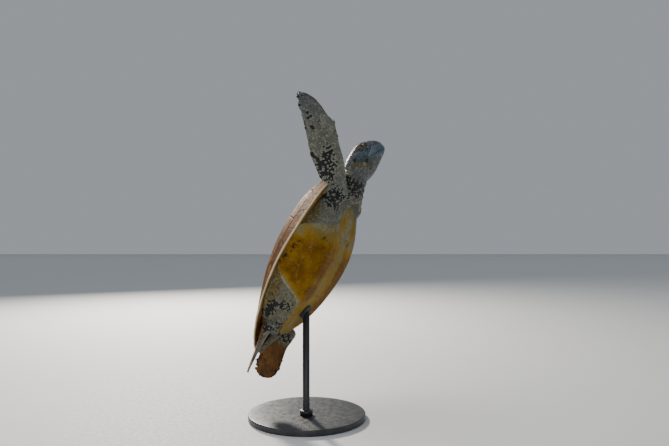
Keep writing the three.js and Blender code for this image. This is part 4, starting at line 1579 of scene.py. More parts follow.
@dataclass
class Carapace:
    """The upper shell: a bony dome under a nuchal, five vertebral, ten costal and 24 marginal plates."""

    marginal_count: int = 12
    nuchal_share: float = 0.052
    band: float = 0.053
    front_band: float = 0.058
    rear_band: float = 0.05
    rim_radius: float = 0.0042
    soffit: float = 0.062
    soffit_rise: float = 0.2
    rim_stations: int = 24
    # where the painted rim highlight lies across a marginal's columns, and how wide it is
    rim_highlight_column: float = 18.2
    rim_highlight_width: float = 2.0
    marginal_style: PlateStyle = PlateStyle(lift=0.0004, edge_drop=0.0001, edge_width=0.004, ridge=0.0001)
    bone_drop: float = 0.0022
    bone_thickness: float = 0.012
    vertebral_seams: tuple[float, ...] = (-1.0, 0.235, 0.43, 0.62, 0.80, 2.0)
    costal_seams: tuple[float, ...] = (-1.0, 0.165, 0.335, 0.53, 0.71, 2.0)
    vertebral_half: tuple[float, ...] = (0.068, 0.073, 0.078, 0.075, 0.066, 0.062)
    vertebral_bulge: float = 0.02
    vertebral_waist: float = 0.75
    serration: float = 0.0028

    def ends(self) -> Place:
        """Front and rear ends of the field inside the marginals."""
        return SHELL.length / 2 - self.front_band, -SHELL.length / 2 + self.rear_band

    def inner_line(self, side: int) -> Array:
        """The marginals' inner seam in plan, on one side, from the front midline to the rear one."""
        front, rear = self.ends()
        s = np.linspace(SHELL.share(front), SHELL.share(rear), 300)
        flank = vec(SHELL.length * (0.5 - s), side * np.maximum(SHELL.half(s) - self.band, 0))
        return np.concatenate([[[front, 0.0]], flank, [[rear, 0.0]]])

    def marginal(self, side: int, start: float, end: float, number: int) -> Form:
        """A plate of the rim: down from its inner seam, round the edge and in along the underside."""
        along_rim = eased(np.linspace(0, 1, self.rim_stations))
        share = start + (end - start) * along_rim
        rim = along_line(SHELL.rim(side), share)
        rearward = smoothstep(share, 0.45, 0.85)
        inner = along_line(self.inner_line(side), share)
        inwards = unit(inner - rim)
        rim = rim - inwards * (self.serration * rearward * np.sin(math.pi * along_rim) ** 0.7)[:, None]
        width = np.linalg.norm(inner - rim, axis=1)
        down = 1 - np.linspace(0, 1, 16)
        plan = rim[:, None] + inwards[:, None] * (down[None] * width[:, None])[..., None]
        top = over(SHELL.dome_at, plan, 0.0, False)
        edge = top[:, -1]
        outward = np.concatenate([-inwards, np.zeros((len(rim), 1))], axis=1)
        upward = np.array([0.0, 0.0, 1.0])
        swing = np.linspace(0.35, math.pi, 8)[1:]
        centre = edge - upward * self.rim_radius * 0.6
        turn = centre[:, None] + self.rim_radius * (
            outward[:, None] * np.sin(swing)[None, :, None] + upward * np.cos(swing)[None, :, None]
        )
        back = np.linspace(0, 1, 9)[1:, None]
        inset = np.minimum(self.soffit, 0.92 * width + 0.006)[:, None, None] * back[None]
        soffit = turn[:, -1:] - outward[:, None] * inset + upward * (self.soffit_rise * inset)
        grid = np.concatenate([top, turn, soffit], axis=1)
        run = run_of(grid)
        length = np.linalg.norm(rim[-1] - rim[0])
        seam = np.minimum(np.minimum(along_rim, 1 - along_rim)[:, None] * length, run)
        normal = unit(np.cross(np.gradient(grid, axis=0), np.gradient(grid, axis=1)))
        normal = normal * np.sign((normal[:, 2] * upward).sum())
        uneven = 0.001 * waves(grid, 0.02, number)
        bump = self.marginal_style.profile(seam + uneven)
        outer = grid + normal * bump[..., None]
        lower = grid - normal * self.marginal_style.depth
        spot = vec(
            np.broadcast_to((along_rim[:, None] - 0.5) * 1.2, seam.shape),
            0.1 + run / run.max(), np.full(seam.shape, number * STREAK_STEP),
        )
        tone = np.full(seam.shape, (number * GOLDEN) % 1)
        column = 0 * tone + np.arange(seam.shape[1])
        # the rim highlight value is the painted highlight band round the rim's turn
        return closed_sheet(outer, lower, {
            "streak": spot, "seam": seam, "tone": tone, "under": smoothstep(column, 15, 20),
            "lip": bell(column, self.rim_highlight_column, self.rim_highlight_width),
        })

    def plan(self, s: float, inside: float) -> Place:
        """A place in plan at a share of the inner field's length and of its half width."""
        front, rear = self.ends()
        x = min(max(SHELL.length * (0.5 - s), rear), front)
        return x, inside * max(float(SHELL.half(SHELL.share(x))) - self.band, 0.0)

    def meeting(self, number: int) -> float:
        """Place along the shell where two costal plates meet at the side of a middle plate."""
        if number < 4:
            return self.plan(self.costal_seams[number + 1], 0)[0]
        return (self.plan(self.vertebral_seams[4], 0)[0] + self.plan(2.0, 0)[0]) / 2

    def vertebral_side(self, number: int) -> list[Place]:
        """Three corners of a middle plate: front, where two costal plates meet it, and rear."""
        front, rear = (self.plan(seam, 0)[0] for seam in self.vertebral_seams[number:number + 2])
        half_front, half_rear = self.vertebral_half[number:number + 2]
        mid = (half_front + half_rear) / 2 + self.vertebral_bulge
        waist = self.vertebral_waist
        return [(front, half_front * waist), (self.meeting(number), mid), (rear, half_rear * waist)]

    def vertebral(self, number: int) -> Form:
        """A plate of the middle row: six-sided, widest where two costal plates meet."""
        sides = self.vertebral_side(number)
        outline = sides + [(x, -y) for x, y in reversed(sides)]
        centre = (sides[0][0] * 0.35 + sides[2][0] * 0.65, 0.0)
        return horn_plate(outline, SHELL.dome_at, False, PlateStyle(), number, centre)

    def vertebral_edge(self, side: int, start: float, end: float) -> list[Place]:
        """The middle row's side between two places along the shell, as the costal plates meet it."""
        corners = [corner for number in range(5) for corner in self.vertebral_side(number)[:2]]
        corners.append(self.vertebral_side(4)[2])
        line = np.array(corners)[::-1]
        x_start, x_end = self.plan(start, 0)[0], self.plan(end, 0)[0]
        places = [x_start] + [x for x, _ in corners if x_end + 0.004 < x < x_start - 0.004] + [x_end]
        return [(x, side * float(np.interp(x, line[:, 0], line[:, 1]))) for x in places]

    def costal(self, side: int, number: int) -> Form:
        """A plate between the middle row and the rim, on one side."""
        low, high = self.costal_seams[number], self.costal_seams[number + 1]
        inner = self.vertebral_edge(side, low, high)
        lean = 0.012
        shares = np.linspace(max(high, 0.0) if high < 1 else 0.94, low if low > 0 else 0.06, 12)
        outer = [self.plan(float(s) + lean * (0 < low < 1 or 0 < high < 1), side) for s in shares]
        outline = inner + outer
        middle = np.mean(outline, axis=0)
        centre = (float(middle[0]) - 0.012, float(middle[1]) * 0.86)
        order = 7 + number + (5 if side > 0 else 0)
        return horn_plate(outline, SHELL.dome_at, False, PlateStyle(), order, centre)

    def bone(self) -> Form:
        """The dome beneath the plates, as a closed shell just below their seams."""
        u, angle = np.linspace(0, 1, 110)[:, None], circle(120)[None]
        s, t = eased(u) + 0 * angle, np.cos(angle)
        open_ = open_ends(u)
        x = (SHELL.length - 0.006) * (0.5 - s)
        y = (SHELL.half(s) - 0.003).clip(0) * t * open_
        depth = (1 - t**8) * np.minimum(1, 6 * np.sqrt(s * (1 - s)))
        upper = np.sin(angle) > -1e-9
        z = SHELL.dome_at(x, y) - self.bone_drop - np.where(upper, 0, self.bone_thickness * depth)
        grid = vec(x, y, z)
        blank = np.zeros(grid.shape[:2])
        values = {"seam": blank, "tone": blank + 0.4, "streak": grid * 6.0, "under": blank, "lip": blank}
        return closed_rings(grid, values)

    def nuchal(self) -> Form:
        """The broad plate over the neck, which is the rim's front one."""
        return join([self.marginal(side, 0.0, self.nuchal_share, 40) for side in (1, -1)])

    def build(self, material: Material) -> None:
        """Makes the plates and the bone in one piece that stands for the carapace."""
        forms = [self.bone(), self.nuchal()]
        forms += [self.vertebral(k) for k in range(5)]
        forms += [self.costal(side, k) for side in (1, -1) for k in range(5)]
        edges = np.linspace(self.nuchal_share, 1, self.marginal_count + 1)
        spans = list(zip(edges[:-1], edges[1:]))
        forms += [self.marginal(side, a, b, 20 + k) for side in (1, -1) for k, (a, b) in enumerate(spans)]
        add_piece("carapace_plates", POSE.placed(join(forms)), material, ("carapace",))


@dataclass
class Plastron:
    """The belly plate: six pairs of plates down the middle and three bridge plates a side."""

    front: float = 0.32
    rear: float = -0.3
    thickness: float = 0.01
    bone_drop: float = 0.002
    margin: float = 0.004
    tuck: float = 0.007
    outline: Stations = (
        (0, 0), (0.02, 0.038), (0.07, 0.074), (0.14, 0.108), (0.2, 0.142), (0.25, 0.21), (0.31, 0.276),
        (0.4, 0.291), (0.48, 0.286), (0.56, 0.274), (0.62, 0.258), (0.68, 0.216), (0.74, 0.14), (0.84, 0.1),
        (0.93, 0.066), (0.98, 0.036), (1, 0),
    )
    seams: tuple[float, ...] = (0.32, 0.272, 0.18, 0.061, -0.08, -0.2, -0.3)
    dips: tuple[float, ...] = (0.0, 0.012, -0.014, 0.01, -0.012, 0.014, 0.0)
    bridge_line: Stations = ((0, 0.16), (0.3, 0.222), (0.55, 0.222), (0.8, 0.2), (1, 0.15))
    bridge: Place = (0.165, -0.115)
    bridge_seams: tuple[float, ...] = (0.165, 0.075, -0.018, -0.115)
    ink_spots: Stations = (
        (0.119, 0.193), (0.125, 0.17), (0.11, 0.15), (0.062, 0.27), (0.2, 0.03), (0.15, 0.05),
    )

    def half(self, x: Array) -> Array:
        """Half width of the outline at x."""
        return along(self.outline, (self.front - np.asarray(x)) / (self.front - self.rear))

    def height(self, x: Array, y: Array) -> Array:
        """The belly's height, drawn up towards the rim's underside at the bridge."""
        return SHELL.belly_at(x, y) + self.tuck * smoothstep(SHELL.lateral(x, y), 0.84, 0.97)

    def covers(self, x: Array, y: Array) -> Array:
        """Whether a place in plan lies well inside the outline."""
        inside = np.abs(y) < self.half(x) - self.margin
        return inside & (x < self.front - self.margin) & (x > self.rear + self.margin)

    def inner_half(self, x: Array) -> Array:
        """Half width of the six pairs: the outline, or the bridge line where the bridge is."""
        x = np.asarray(x, float)
        share = (self.bridge[0] - x) / (self.bridge[0] - self.bridge[1])
        inside = (share > 0) & (share < 1)
        return np.where(inside, np.minimum(self.half(x), along(self.bridge_line, share)), self.half(x))

    def plate(self, side: int, number: int) -> Form:
        """One plate of a pair, between two seams that dip towards the midline."""
        front, rear = self.seams[number], self.seams[number + 1]
        dip_front, dip_rear = self.dips[number], self.dips[number + 1]
        places = np.linspace(front, rear, 14)
        outer = self.corners(places, side * self.inner_half(places))
        middle = [(rear + dip_rear, 0.0), (front + dip_front, 0.0)]
        if number == 0:
            outer = outer[1:]
        if number == 5:
            outer = outer[:-1]
        return self.dressed(outer + middle, number + (6 if side > 0 else 0))

    def bridge_plate(self, side: int, number: int) -> Form:
        """One plate of the bridge, between the belly's pairs and the rim."""
        front, rear = self.bridge_seams[number], self.bridge_seams[number + 1]
        places = np.linspace(front, rear, 8)
        held = np.clip(places, self.bridge[1] + 1e-4, self.bridge[0] - 1e-4)
        inner = self.corners(places, side * self.inner_half(held))
        outer = self.corners(places, side * self.half(places))[::-1]
        return self.dressed(inner + outer, 14 + number + (3 if side > 0 else 0))

    @staticmethod
    def corners(x: Array, y: Array) -> list[Place]:
        """Places in plan as a list of corners."""
        return list(zip(x.tolist(), y.tolist()))

    def dressed(self, outline: list[Place], number: int) -> Form:
        """A plate with the belly's stain: cream in front and at the sides, amber in the middle, with
        painted shade darker on the turtle's left.
        """
        form = horn_plate(outline, self.height, True, PlateStyle(lift=0.001, ridge=0.0001), number)
        form.values |= self.stains_and_shade(form.points)
        del form.values["streak"]
        return form

    def stains_and_shade(self, points: Array) -> dict[str, Array]:
        """How amber the horn is, with painted shade darker on the turtle's left, and where dark flecks lie,
        at points of the belly.
        """
        x, y = points[:, 0], np.abs(points[:, 1])
        ahead = 0.172 - 0.2 * np.maximum(y - 0.13, 0)
        behind = smoothstep(x + 0.3 * np.maximum(y - 0.12, 0), -0.2, -0.09)
        length = (1 - smoothstep(x, ahead - 0.09, ahead)) * behind
        flank = smoothstep(x, -0.1, -0.05) * (1 - smoothstep(x, 0.06, 0.1))
        length = length * np.maximum(smoothstep(self.half(x) - y, 0.004, 0.05), flank)
        centre = 0.25 + 0.75 * smoothstep(y, 0.01, 0.09)
        rear = 0.3 * (1 - smoothstep(x, -0.2, -0.05)) * bell(y, 0.06, 0.05)
        spot = 0.5 * bell(x, 0.217, 0.03) * bell(y, 0.07, 0.025)
        front = 0.03 * smoothstep(x, 0.12, 0.2) * bell(y, 0, 0.07)
        grey = 0.3 * bell(x, -0.137, 0.04) * bell(y, 0.235, 0.04)
        # painted shade: the belly's far side, on the turtle's left, made darker amber from just behind the
        # front to the rear
        far_side_shade = 0.36 * bell(points[:, 1], 0.1, 0.05) * (1 - smoothstep(x, 0.0, 0.12))
        stain = 0.15 + 0.66 * length * centre + rear + spot + front + far_side_shade - grey
        bridge = bell(y, 0.268, 0.007) * smoothstep(x, -0.075, -0.04) * (1 - smoothstep(x, 0.04, 0.08))
        spots = sum(bell(x, a, 0.012) * bell(y, b, 0.014) for a, b in self.ink_spots)
        return {"stain": stain, "ink": np.clip(bridge + 0.9 * spots, 0, 1)}

    def bone(self) -> Form:
        """The plate beneath the horn, closed round its outline."""
        u, angle = np.linspace(0, 1, 90)[:, None], circle(80)[None]
        share, t = eased(u) + 0 * angle, np.cos(angle)
        open_ = open_ends(u)
        x = self.front - 0.003 - (self.front - self.rear - 0.006) * share
        y = (self.half(x) - 0.002).clip(0) * t * open_
        body = (1 - t**6) * np.minimum(1, 5 * np.sqrt(share * (1 - share)))
        upper = np.sin(angle) > -1e-9
        z = self.height(x, y) + self.bone_drop + np.where(upper, self.thickness * body, 0)
        grid = vec(x, y, z)
        blank = np.zeros(grid.shape[:2])
        form = closed_rings(grid, {"seam": blank, "tone": blank + 0.5})
        form.values |= self.stains_and_shade(form.points)
        return form

    def build(self, material: Material) -> None:
        """Makes the plates and the bone in one piece that stands for the plastron."""
        forms = [self.bone()]
        forms += [self.plate(side, k) for side in (1, -1) for k in range(6)]
        forms += [self.bridge_plate(side, k) for side in (1, -1) for k in range(3)]
        add_piece("plastron_plates", POSE.placed(join(forms)), material, ("plastron",))


PLASTRON = Plastron()


@dataclass
class Eye:
    """An eyeball with its lids, set in the side of the head."""

    side: Side
    radius: float = 0.0155
    place: Point = (0.745, 0.18, 0.15)
    way: Point = (0.2, 1.0, 0.12)
    opening: Place = (0.0122, 0.0084)
    lid_width: float = 0.0105
    lid_thickness: float = 0.0019

    def centre(self) -> Array:
        """The eyeball's centre in the head's frame."""
        x, y, z = self.place
        return np.array([x, self.side.value * y, z]) * HEAD.length

    def axes(self) -> Array:
        """Rows are forward along the lids, up across them, and out of the eye, in the head's frame."""
        x, y, z = self.way
        out = unit(np.array([x, self.side.value * y, z]))
        fore = square_to(np.array([1.0, 0, -0.25]), out)
        up = np.cross(out, fore)
        return np.stack([fore, up * np.sign(up[2]), out])

    def ball(self) -> Form:
        """The eyeball as rings about its own axis, with a slightly raised clear front."""
        u, angle = np.linspace(0, 1, 40)[:, None], circle(48)[None]
        polar = u * math.pi + 0 * angle
        radius = self.radius * (1 + 0.035 * bell(polar, 0, 0.55))
        flat = radius * np.sin(polar)
        local = vec(flat * np.cos(angle), flat * np.sin(angle), radius * np.cos(polar))
        points = HEAD.placed(local @ self.axes() + self.centre())
        return closed_rings(points, {"pupil": np.minimum(polar, 1.0)})

    def ground(self, across: Array, skull: Loft) -> Array:
        """Height of the head's own surface over the eye's plane, by a quadratic fit round the eye.

        Args:
            across: places in the eye's plane, with a last axis of two.
            skull: the head's loft.

        Returns:
            Heights along the eye's axis.
        """
        local = (HEAD.local(skull.grid.reshape(-1, 3)) - self.centre()) @ self.axes().T
        near = local[(np.linalg.norm(local, axis=1) < 0.03) & (local[:, 2] > 0)]

        def terms(a: Array, b: Array) -> Array:
            """The quadratic's terms."""
            return vec(np.ones_like(a), a, b, a * a, a * b, b * b)

        fit = np.linalg.lstsq(terms(near[:, 0], near[:, 1]), near[:, 2], rcond=None)[0]
        return terms(across[..., 0], across[..., 1]) @ fit

    def lids(self, skull: Loft) -> Form:
        """One closed ring round the opening: up from the eyeball, over the margin, and down to the skin.

        The opening is a superellipse with pointed corners. Shallow creases run round it.
        """
        angle = circle(96)
        a, b = self.opening
        power = 1.55
        reach = (np.abs(np.cos(angle) / a) ** power + np.abs(np.sin(angle) / b) ** power) ** (-1 / power)
        way = compass(angle)
        share = np.linspace(0, 1, 22)
        radius = reach[None] + self.lid_width * share[:, None] * (1 + 0.25 * np.abs(np.cos(angle)))[None]
        across = radius[..., None] * way[None]
        ball = np.sqrt(np.maximum(self.radius**2 - radius**2, 0))
        ground = self.ground(across, skull)
        swell = self.lid_thickness * np.sqrt(np.clip(1 - (1 - np.clip(share / 0.12, 0, 1)) ** 2, 0, 1))
        blend = smoothstep(share, 0.08, 0.9)[:, None]
        crease = -0.0006 * bell(share, 0.42, 0.05) - 0.0005 * bell(share, 0.68, 0.05)
        hug = np.maximum(ball, ground - 0.004) + swell[:, None]
        settled = ground - 0.0018 * share[:, None] ** 3 + 0.0006
        height = hug * (1 - blend) + settled * blend + crease[:, None]
        top = np.concatenate([across, height[..., None]], axis=-1)
        under = np.concatenate([across[::-1], (np.minimum(ball, ground) - 0.003)[::-1][..., None]], axis=-1)
        loop = np.concatenate([top, under])
        points = HEAD.placed(loop @ self.axes() + self.centre())
        rows, columns = points.shape[:2]
        faces = ring_faces(rows + 1, columns) % (rows * columns)
        return Form(points.reshape(-1, 3), faces).facing_out()

    def build(self, material: Material) -> None:
        """Makes the eyeball."""
        side = self.side.name.lower()
        add_piece(f"eyeball_{side}", POSE.placed(self.ball()), material, (f"eye_{side}",))


@dataclass
class Beak:
    """Upper or lower horn sheath of the jaw, cut from the head's own shape by a side outline."""

    name: str
    outline: tuple[Place, ...]
    proud: float = 0.0016
    voxel: float = 0.0013

    def build(self, material: Material) -> None:
        """Makes the sheath: the head's surface set proud, within the outline, with rounded edges."""
        head = closed_rings(Loft(HEAD.shape, 130, 120, self.proud).grid[:, :-1])
        outline = np.array(self.outline) * HEAD.length
        half = HEAD.length / 2
        count = len(outline)
        step = np.arange(count)
        sides = [HEAD.placed(vec(outline[:, 0], 0 * step + y, outline[:, 1])) for y in (-half, half)]
        walls = vec(step, (step + 1) % count, (step + 1) % count + count, step + count)
        mesh = bpy.data.meshes.new("slab")
        caps = [list(range(count))[::-1], list(range(count, 2 * count))]
        mesh.from_pydata(np.concatenate(sides).tolist(), [], walls.tolist() + caps)
        slab = bpy.data.objects.new("slab", mesh)
        bpy.context.scene.collection.objects.link(slab)
        body = new_object("sheath", head)
        cut = body.modifiers.new("outline", "BOOLEAN")
        cut.operation, cut.object, cut.solver = "INTERSECT", slab, "EXACT"
        even = body.modifiers.new("rounding", "REMESH")
        even.mode, even.voxel_size = "VOXEL", self.voxel
        form = form_of(body)
        bpy.data.objects.remove(slab)
        form = relaxed(form, np.full(len(form.points), 0.5), 5)
        local = HEAD.local(form.points)
        form.values["dark"] = 0.85 * smoothstep(local[:, 2] + 0.3 * (local[:, 0] - 0.16), -0.026, 0.014)
        node = self.name.replace("_sheath", "")
        add_piece(self.name, POSE.placed(form.facing_out()), material, (node,))


MOUTH_LINE = ((1.2, -0.22), (0.95, -0.19), (0.8, -0.16), (0.62, -0.115))
UPPER_BEAK_TOP = ((0.64, -0.08), (0.78, -0.035), (0.9, 0.045), (1.2, 0.08))
LOWER_BEAK_BASE = ((0.66, -0.17), (0.8, -0.23), (0.95, -0.28), (1.2, -0.32))
MOUTH_GAP = 0.005


def claw_form(blade: Blade, place: float, size: float) -> Form:
    """A claw as shrinking rings on a line that leans towards the tip and curves in to the edge."""
    u, angle = np.linspace(0, 1, 22)[:, None], circle(20)[None]
    lean = math.radians(22)
    reach = size * u * 1.15 - 0.004
    line_x = place * blade.length + reach * math.cos(lean) + 0 * angle
    line_y = along(blade.stations, place, 1) + reach * math.sin(lean) - 0.0035 * u**2 + 0 * angle
    radius = 0.0046 * (1 - u) ** 0.62 * np.where(u > 0, 1.0, 0.0)
    local = vec(
        line_x - radius * np.cos(angle) * math.sin(lean),
        line_y + radius * np.cos(angle) * math.cos(lean) * 0.85,
        radius * np.sin(angle) * 0.8,
    )
    return closed_rings(blade.placed(local))


@dataclass
class Flesh:
    """The skin over trunk, neck, head, flippers and tail, and the scales that cover it."""

    voxel: float = 0.003
    most: int = 172000
    inside: float = 0.0016
    ground: BVHTree | None = None
    blend_spots: tuple[tuple[float, float, float, float], ...] = (
        (0.27, -0.15, -0.03, 0.085), (0.27, 0.15, -0.02, 0.085), (0.335, 0.0, -0.01, 0.11),
        (0.405, -0.005, 0.01, 0.06), (-0.26, -0.1, -0.03, 0.07), (-0.27, 0.1, -0.04, 0.07),
        (-0.28, 0, -0.045, 0.05),
    )
    skull: Loft = field(default_factory=lambda: Loft(HEAD.shape, 200, 200))

    def lofts(self, grow: float) -> dict[str, Loft]:
        """All the flesh's lofts, grown by an amount."""
        made = {
            "trunk": Loft(body_shape(TRUNK_STATIONS), 150, 180, grow),
            "neck": Loft(body_shape(NECK_STATIONS, 1.0, neck_folds), 90, 160, grow),
            "tail": Loft(body_shape(TAIL_STATIONS), 90, 60, grow),
            "head": Loft(HEAD.shape, 150, 150, grow),
        }
        for blade in BLADES:
            made[blade.name] = Loft(blade.shape, 240, 150, grow)
        return made

    def skin(self) -> Form:
        """One closed skin: the lofts joined by a voxel remesh, blended where they meet."""
        parts = []
        for name, loft in self.lofts(-self.inside).items():
            part = loft.form()
            part.points = under_shell(part.points, name == "trunk")
            parts.append(part)
        form = remeshed(join(parts), self.voxel)
        weight = np.zeros(len(form.points))
        for x, y, z, reach in self.blend_spots:
            away = np.linalg.norm(form.points - np.array([x, y, z]), axis=1) / reach
            weight = np.maximum(weight, 1 - smoothstep(away, 0.6, 1.15))
        form = relaxed(form, 0.55 * weight, 28)
        form = relaxed(form, np.full(len(form.points), 0.4), 2)
        form.points = under_shell(form.points)
        return thinned(form, self.most)

    def build_skin(self, material: Material, eyes: list[Eye]) -> None:
        """Makes the skin with the lids and stands it in for every node of flesh."""
        form = self.skin()
        corners = [[k for k in face if k != NO_CORNER] for face in form.faces.tolist()]
        self.ground = BVHTree.FromPolygons(form.points.tolist(), corners)
        lids = [eye.lids(self.skull) for eye in eyes]
        whole = join([form.facing_out(), *lids])
        normals = point_normals(whole)
        whole.values = MARKS.at(whole.points, normals)
        whole.values["tone"] = 0.5 + 0.5 * waves(whole.points, 0.012, 3)
        nodes = ("trunk", "neck", "head", "tail", *(f"flipper_{b.name}" for b in BLADES))
        add_piece("skin", POSE.placed(whole), material, nodes)

    def clear_of(self, name: str, lofts: dict[str, Loft]) -> Reading:
        """A test that keeps scales which aren't inside another loft, the shell, a lid or the beak."""
        thin = (slice(None, None, 3), slice(None, -1, 3))
        others = [
            (loft.grid[thin].reshape(-1, 3), loft.normal[thin].reshape(-1, 3))
            for other, loft in lofts.items() if other != name
        ]

        def keep(points: Array, normals: Array) -> Array:
            """Which points lie outside all else."""
            x, y, z = points.T
            within = (SHELL.lateral(x, y) < 0.99) & (np.abs(x) < SHELL.length / 2)
            kept = ~(within & (z > SHELL.dome_at(x, y) - 0.013))
            if name == "trunk":
                over_plate = PLASTRON.covers(x, y) & (z < SHELL.belly_at(x, y) + 0.1)
                kept &= (normals[:, 2] < 0.2) & ~over_plate
            kept &= ~(PLASTRON.covers(x, y) & (z < SHELL.belly_at(x, y) + 0.012))
            for ring, ways in others:
                away = ((points[:, None] - ring[None]) ** 2).sum(axis=-1)
                near = away.argmin(axis=1)
                gap = np.sqrt(away.min(axis=1))
                depth = ((points - ring[near]) * ways[near]).sum(axis=1)
                kept &= ~((depth < 0.0005) & ((gap < 0.012) | (depth < -0.6 * gap)))
            if name == "head":
                kept &= self.face_clear(HEAD.local(points))
            return kept

        return keep

    @staticmethod
    def face_clear(local: Array) -> Array:
        """Which points of the head lie clear of the eyes' lids and of the beak."""
        kept = np.ones(len(local), bool)
        for side in Side:
            eye = Eye(side)
            plane = (local - eye.centre()) @ eye.axes().T
            near = np.hypot(plane[:, 0] / 1.12, plane[:, 1]) < 0.0165
            kept &= ~(near & (plane[:, 2] > 0))
        x, z = local[:, 0] / HEAD.length, local[:, 2] / HEAD.length
        top = np.interp(x, [p for p, _ in UPPER_BEAK_TOP], [q for _, q in UPPER_BEAK_TOP])
        base = np.interp(x, [p for p, _ in LOWER_BEAK_BASE], [q for _, q in LOWER_BEAK_BASE])
        beak = (x > 0.645) & (z < top - 0.004) & (z > base + 0.004)
        return kept & ~beak

    def build_coats(self, material: Material) -> None:
        """Makes a coat of scales for each loft."""
        lofts = self.lofts(0.0)
        front = ScaleStyle(spacing=0.0088, edge_spread=0.42)
        hind = ScaleStyle(spacing=0.0080, edge_spread=0.35)
        coats = {
            "trunk": (ScaleStyle(spacing=0.0082, jitter=0.24, fill=0.93), (0.02, 0.99)),
            "neck": (ScaleStyle(spacing=0.0062, jitter=0.24, fill=0.93), (0.1, 1.0)),
            "tail": (ScaleStyle(spacing=0.007), (0.05, 0.99)),
            "front_right": (front, (0.03, 0.995)), "front_left": (front, (0.03, 0.995)),
            "hind_right": (hind, (0.04, 0.99)), "hind_left": (hind, (0.04, 0.99)),
            "head": (HEAD_SCALES, (0.06, 0.95)),
        }
        for name, (style, bounds) in coats.items():
            density = front_density if name.startswith("front") else None
            seeds = head_plates(lofts[name]) if name == "head" else None
            coat = ScaleCoat(lofts[name], style, bounds, seeds, density, self.ground)
            coat.reach = 0.05 if name == "trunk" else coat.reach
            form = coat.form(self.clear_of(name, lofts))
            add_piece(f"scales_{name}", POSE.placed(form), material)


def front_density(place: Array) -> Array:
    """Relative size of the front flippers' scales: small at the shoulder, large on the hand."""
    return 0.72 + 0.5 * smoothstep(place, 0.1, 0.6) - 0.25 * smoothstep(place, 0.85, 1.0)


HEAD_SCALES = ScaleStyle(
    spacing=0.0095, height=0.0008, rings=(0.3, 0.6, 0.82, 0.95), directions=20, jitter=0.2,
)
HEAD_PLATES = (
    (0.9, 24, 0.011), (0.835, 0, 0.010), (0.82, 32, 0.013), (0.73, 0, 0.013), (0.7, 40, 0.015),
    (0.56, 0, 0.024), (0.58, 48, 0.015), (0.41, 26, 0.018), (0.39, 0, 0.010), (0.44, 58, 0.015),
    (0.26, 0, 0.016), (0.26, 38, 0.016), (0.30, 66, 0.015), (0.15, 22, 0.012), (0.14, 55, 0.012),
    (0.635, 64, 0.012), (0.6, 84, 0.012), (0.64, 103, 0.012), (0.5, 76, 0.013), (0.49, 96, 0.013),
    (0.4, 82, 0.013), (0.38, 103, 0.014), (0.28, 90, 0.013), (0.17, 80, 0.012), (0.27, 112, 0.012),
    (0.855, 62, 0.010), (0.74, 104, 0.010), (0.55, 113, 0.012), (0.46, 118, 0.012),
)


def head_plates(skull: Loft) -> Array:
    """Seeds of the head's large plates, alike on both sides, as rows of u, v and clear radius."""
    rows = []
    for place, tilt, clear in HEAD_PLATES:
        u = math.acos(1 - 2 * place) / math.pi
        row = min(round(u * (skull.rows - 1)), skull.rows - 1)
        for side in ((1, -1) if tilt else (1,)):
            angle = math.radians(90 - side * tilt) % TURN
            share = float(np.interp(angle, skull.angle[row], np.linspace(0, 1, skull.around + 1)))
            rows.append((u, share, clear))
    return np.array(rows)


@dataclass
class Stand:
    """The plain display stand: a round base, one rod with a collar, and a pad under the belly."""

    pad_place: Place = (-0.168, 0.012)
    pad_radius: float = 0.03
    pad_thickness: float = 0.014
    pad_bite: float = 0.003
    collar_radius: float = 0.026
    collar_height: float = 0.02
    round_edge: float = 0.004
    pad_edge: float = 0.003
    fillet: float = 0.007
    chamfer: float = 0.002

    def rounded(self, radius: float, low: float, high: float, edge: float) -> list[Place]:
        """Profile of a disc with quarter-round edges."""
        swing = np.linspace(0, math.pi / 2, 8)
        lower = [(radius - edge + edge * math.sin(a), low + edge - edge * math.cos(a)) for a in swing]
        upper = [(radius - edge + edge * math.cos(a), high - edge + edge * math.sin(a)) for a in swing]
        inner = [(radius * k, high) for k in (0.75, 0.4, 0.1)]
        return [(0, low), (radius * 0.5, low), *lower, *upper, *inner, (0, high)]

    def build(self, steel: Material, rubber: Material) -> None:
        """Makes the three pieces that stand for the stand's nodes."""
        low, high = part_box("stand_base")
        radius = (high.x - low.x) / 2
        base = lathe(self.rounded(radius, low.z, high.z, self.round_edge), 160)
        add_piece("stand_base_plate", base, steel, ("stand_base",))
        pad_x, pad_y = self.pad_place
        half = self.pad_thickness / 2
        middle = float(SHELL.belly_at(np.array(pad_x), np.array(pad_y))) - half
        foot = POSE.placed(Form(np.array([[pad_x, pad_y, middle]]), np.zeros((0, 4), int))).points[0]
        low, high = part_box("stand_rod")
        rod_radius = (high.x - low.x) / 2
        swing = np.linspace(0, math.pi / 2, 7)
        fillet, collar, top = self.fillet, self.collar_radius, low.z + self.collar_height
        flare = [
            (rod_radius + fillet * (1 - math.sin(a)), top + fillet * (1 - math.cos(a))) for a in swing
        ]
        profile = [
            (0, low.z), (collar, low.z), (collar, top - self.chamfer), (collar - self.chamfer, top),
            *flare, (rod_radius, foot[2]), (0, foot[2]),
        ]
        rod = lathe(profile, 64)
        rod.points[:, :2] += foot[:2]
        add_piece("stand_rod_steel", rod, steel, ("stand_rod",))
        disc = lathe(self.rounded(self.pad_radius, -half, half, self.pad_edge), 96)
        disc.points += np.array([pad_x, pad_y, middle + self.pad_bite])
        add_piece("stand_pad_rubber", POSE.placed(disc), rubber, ("stand_pad",))


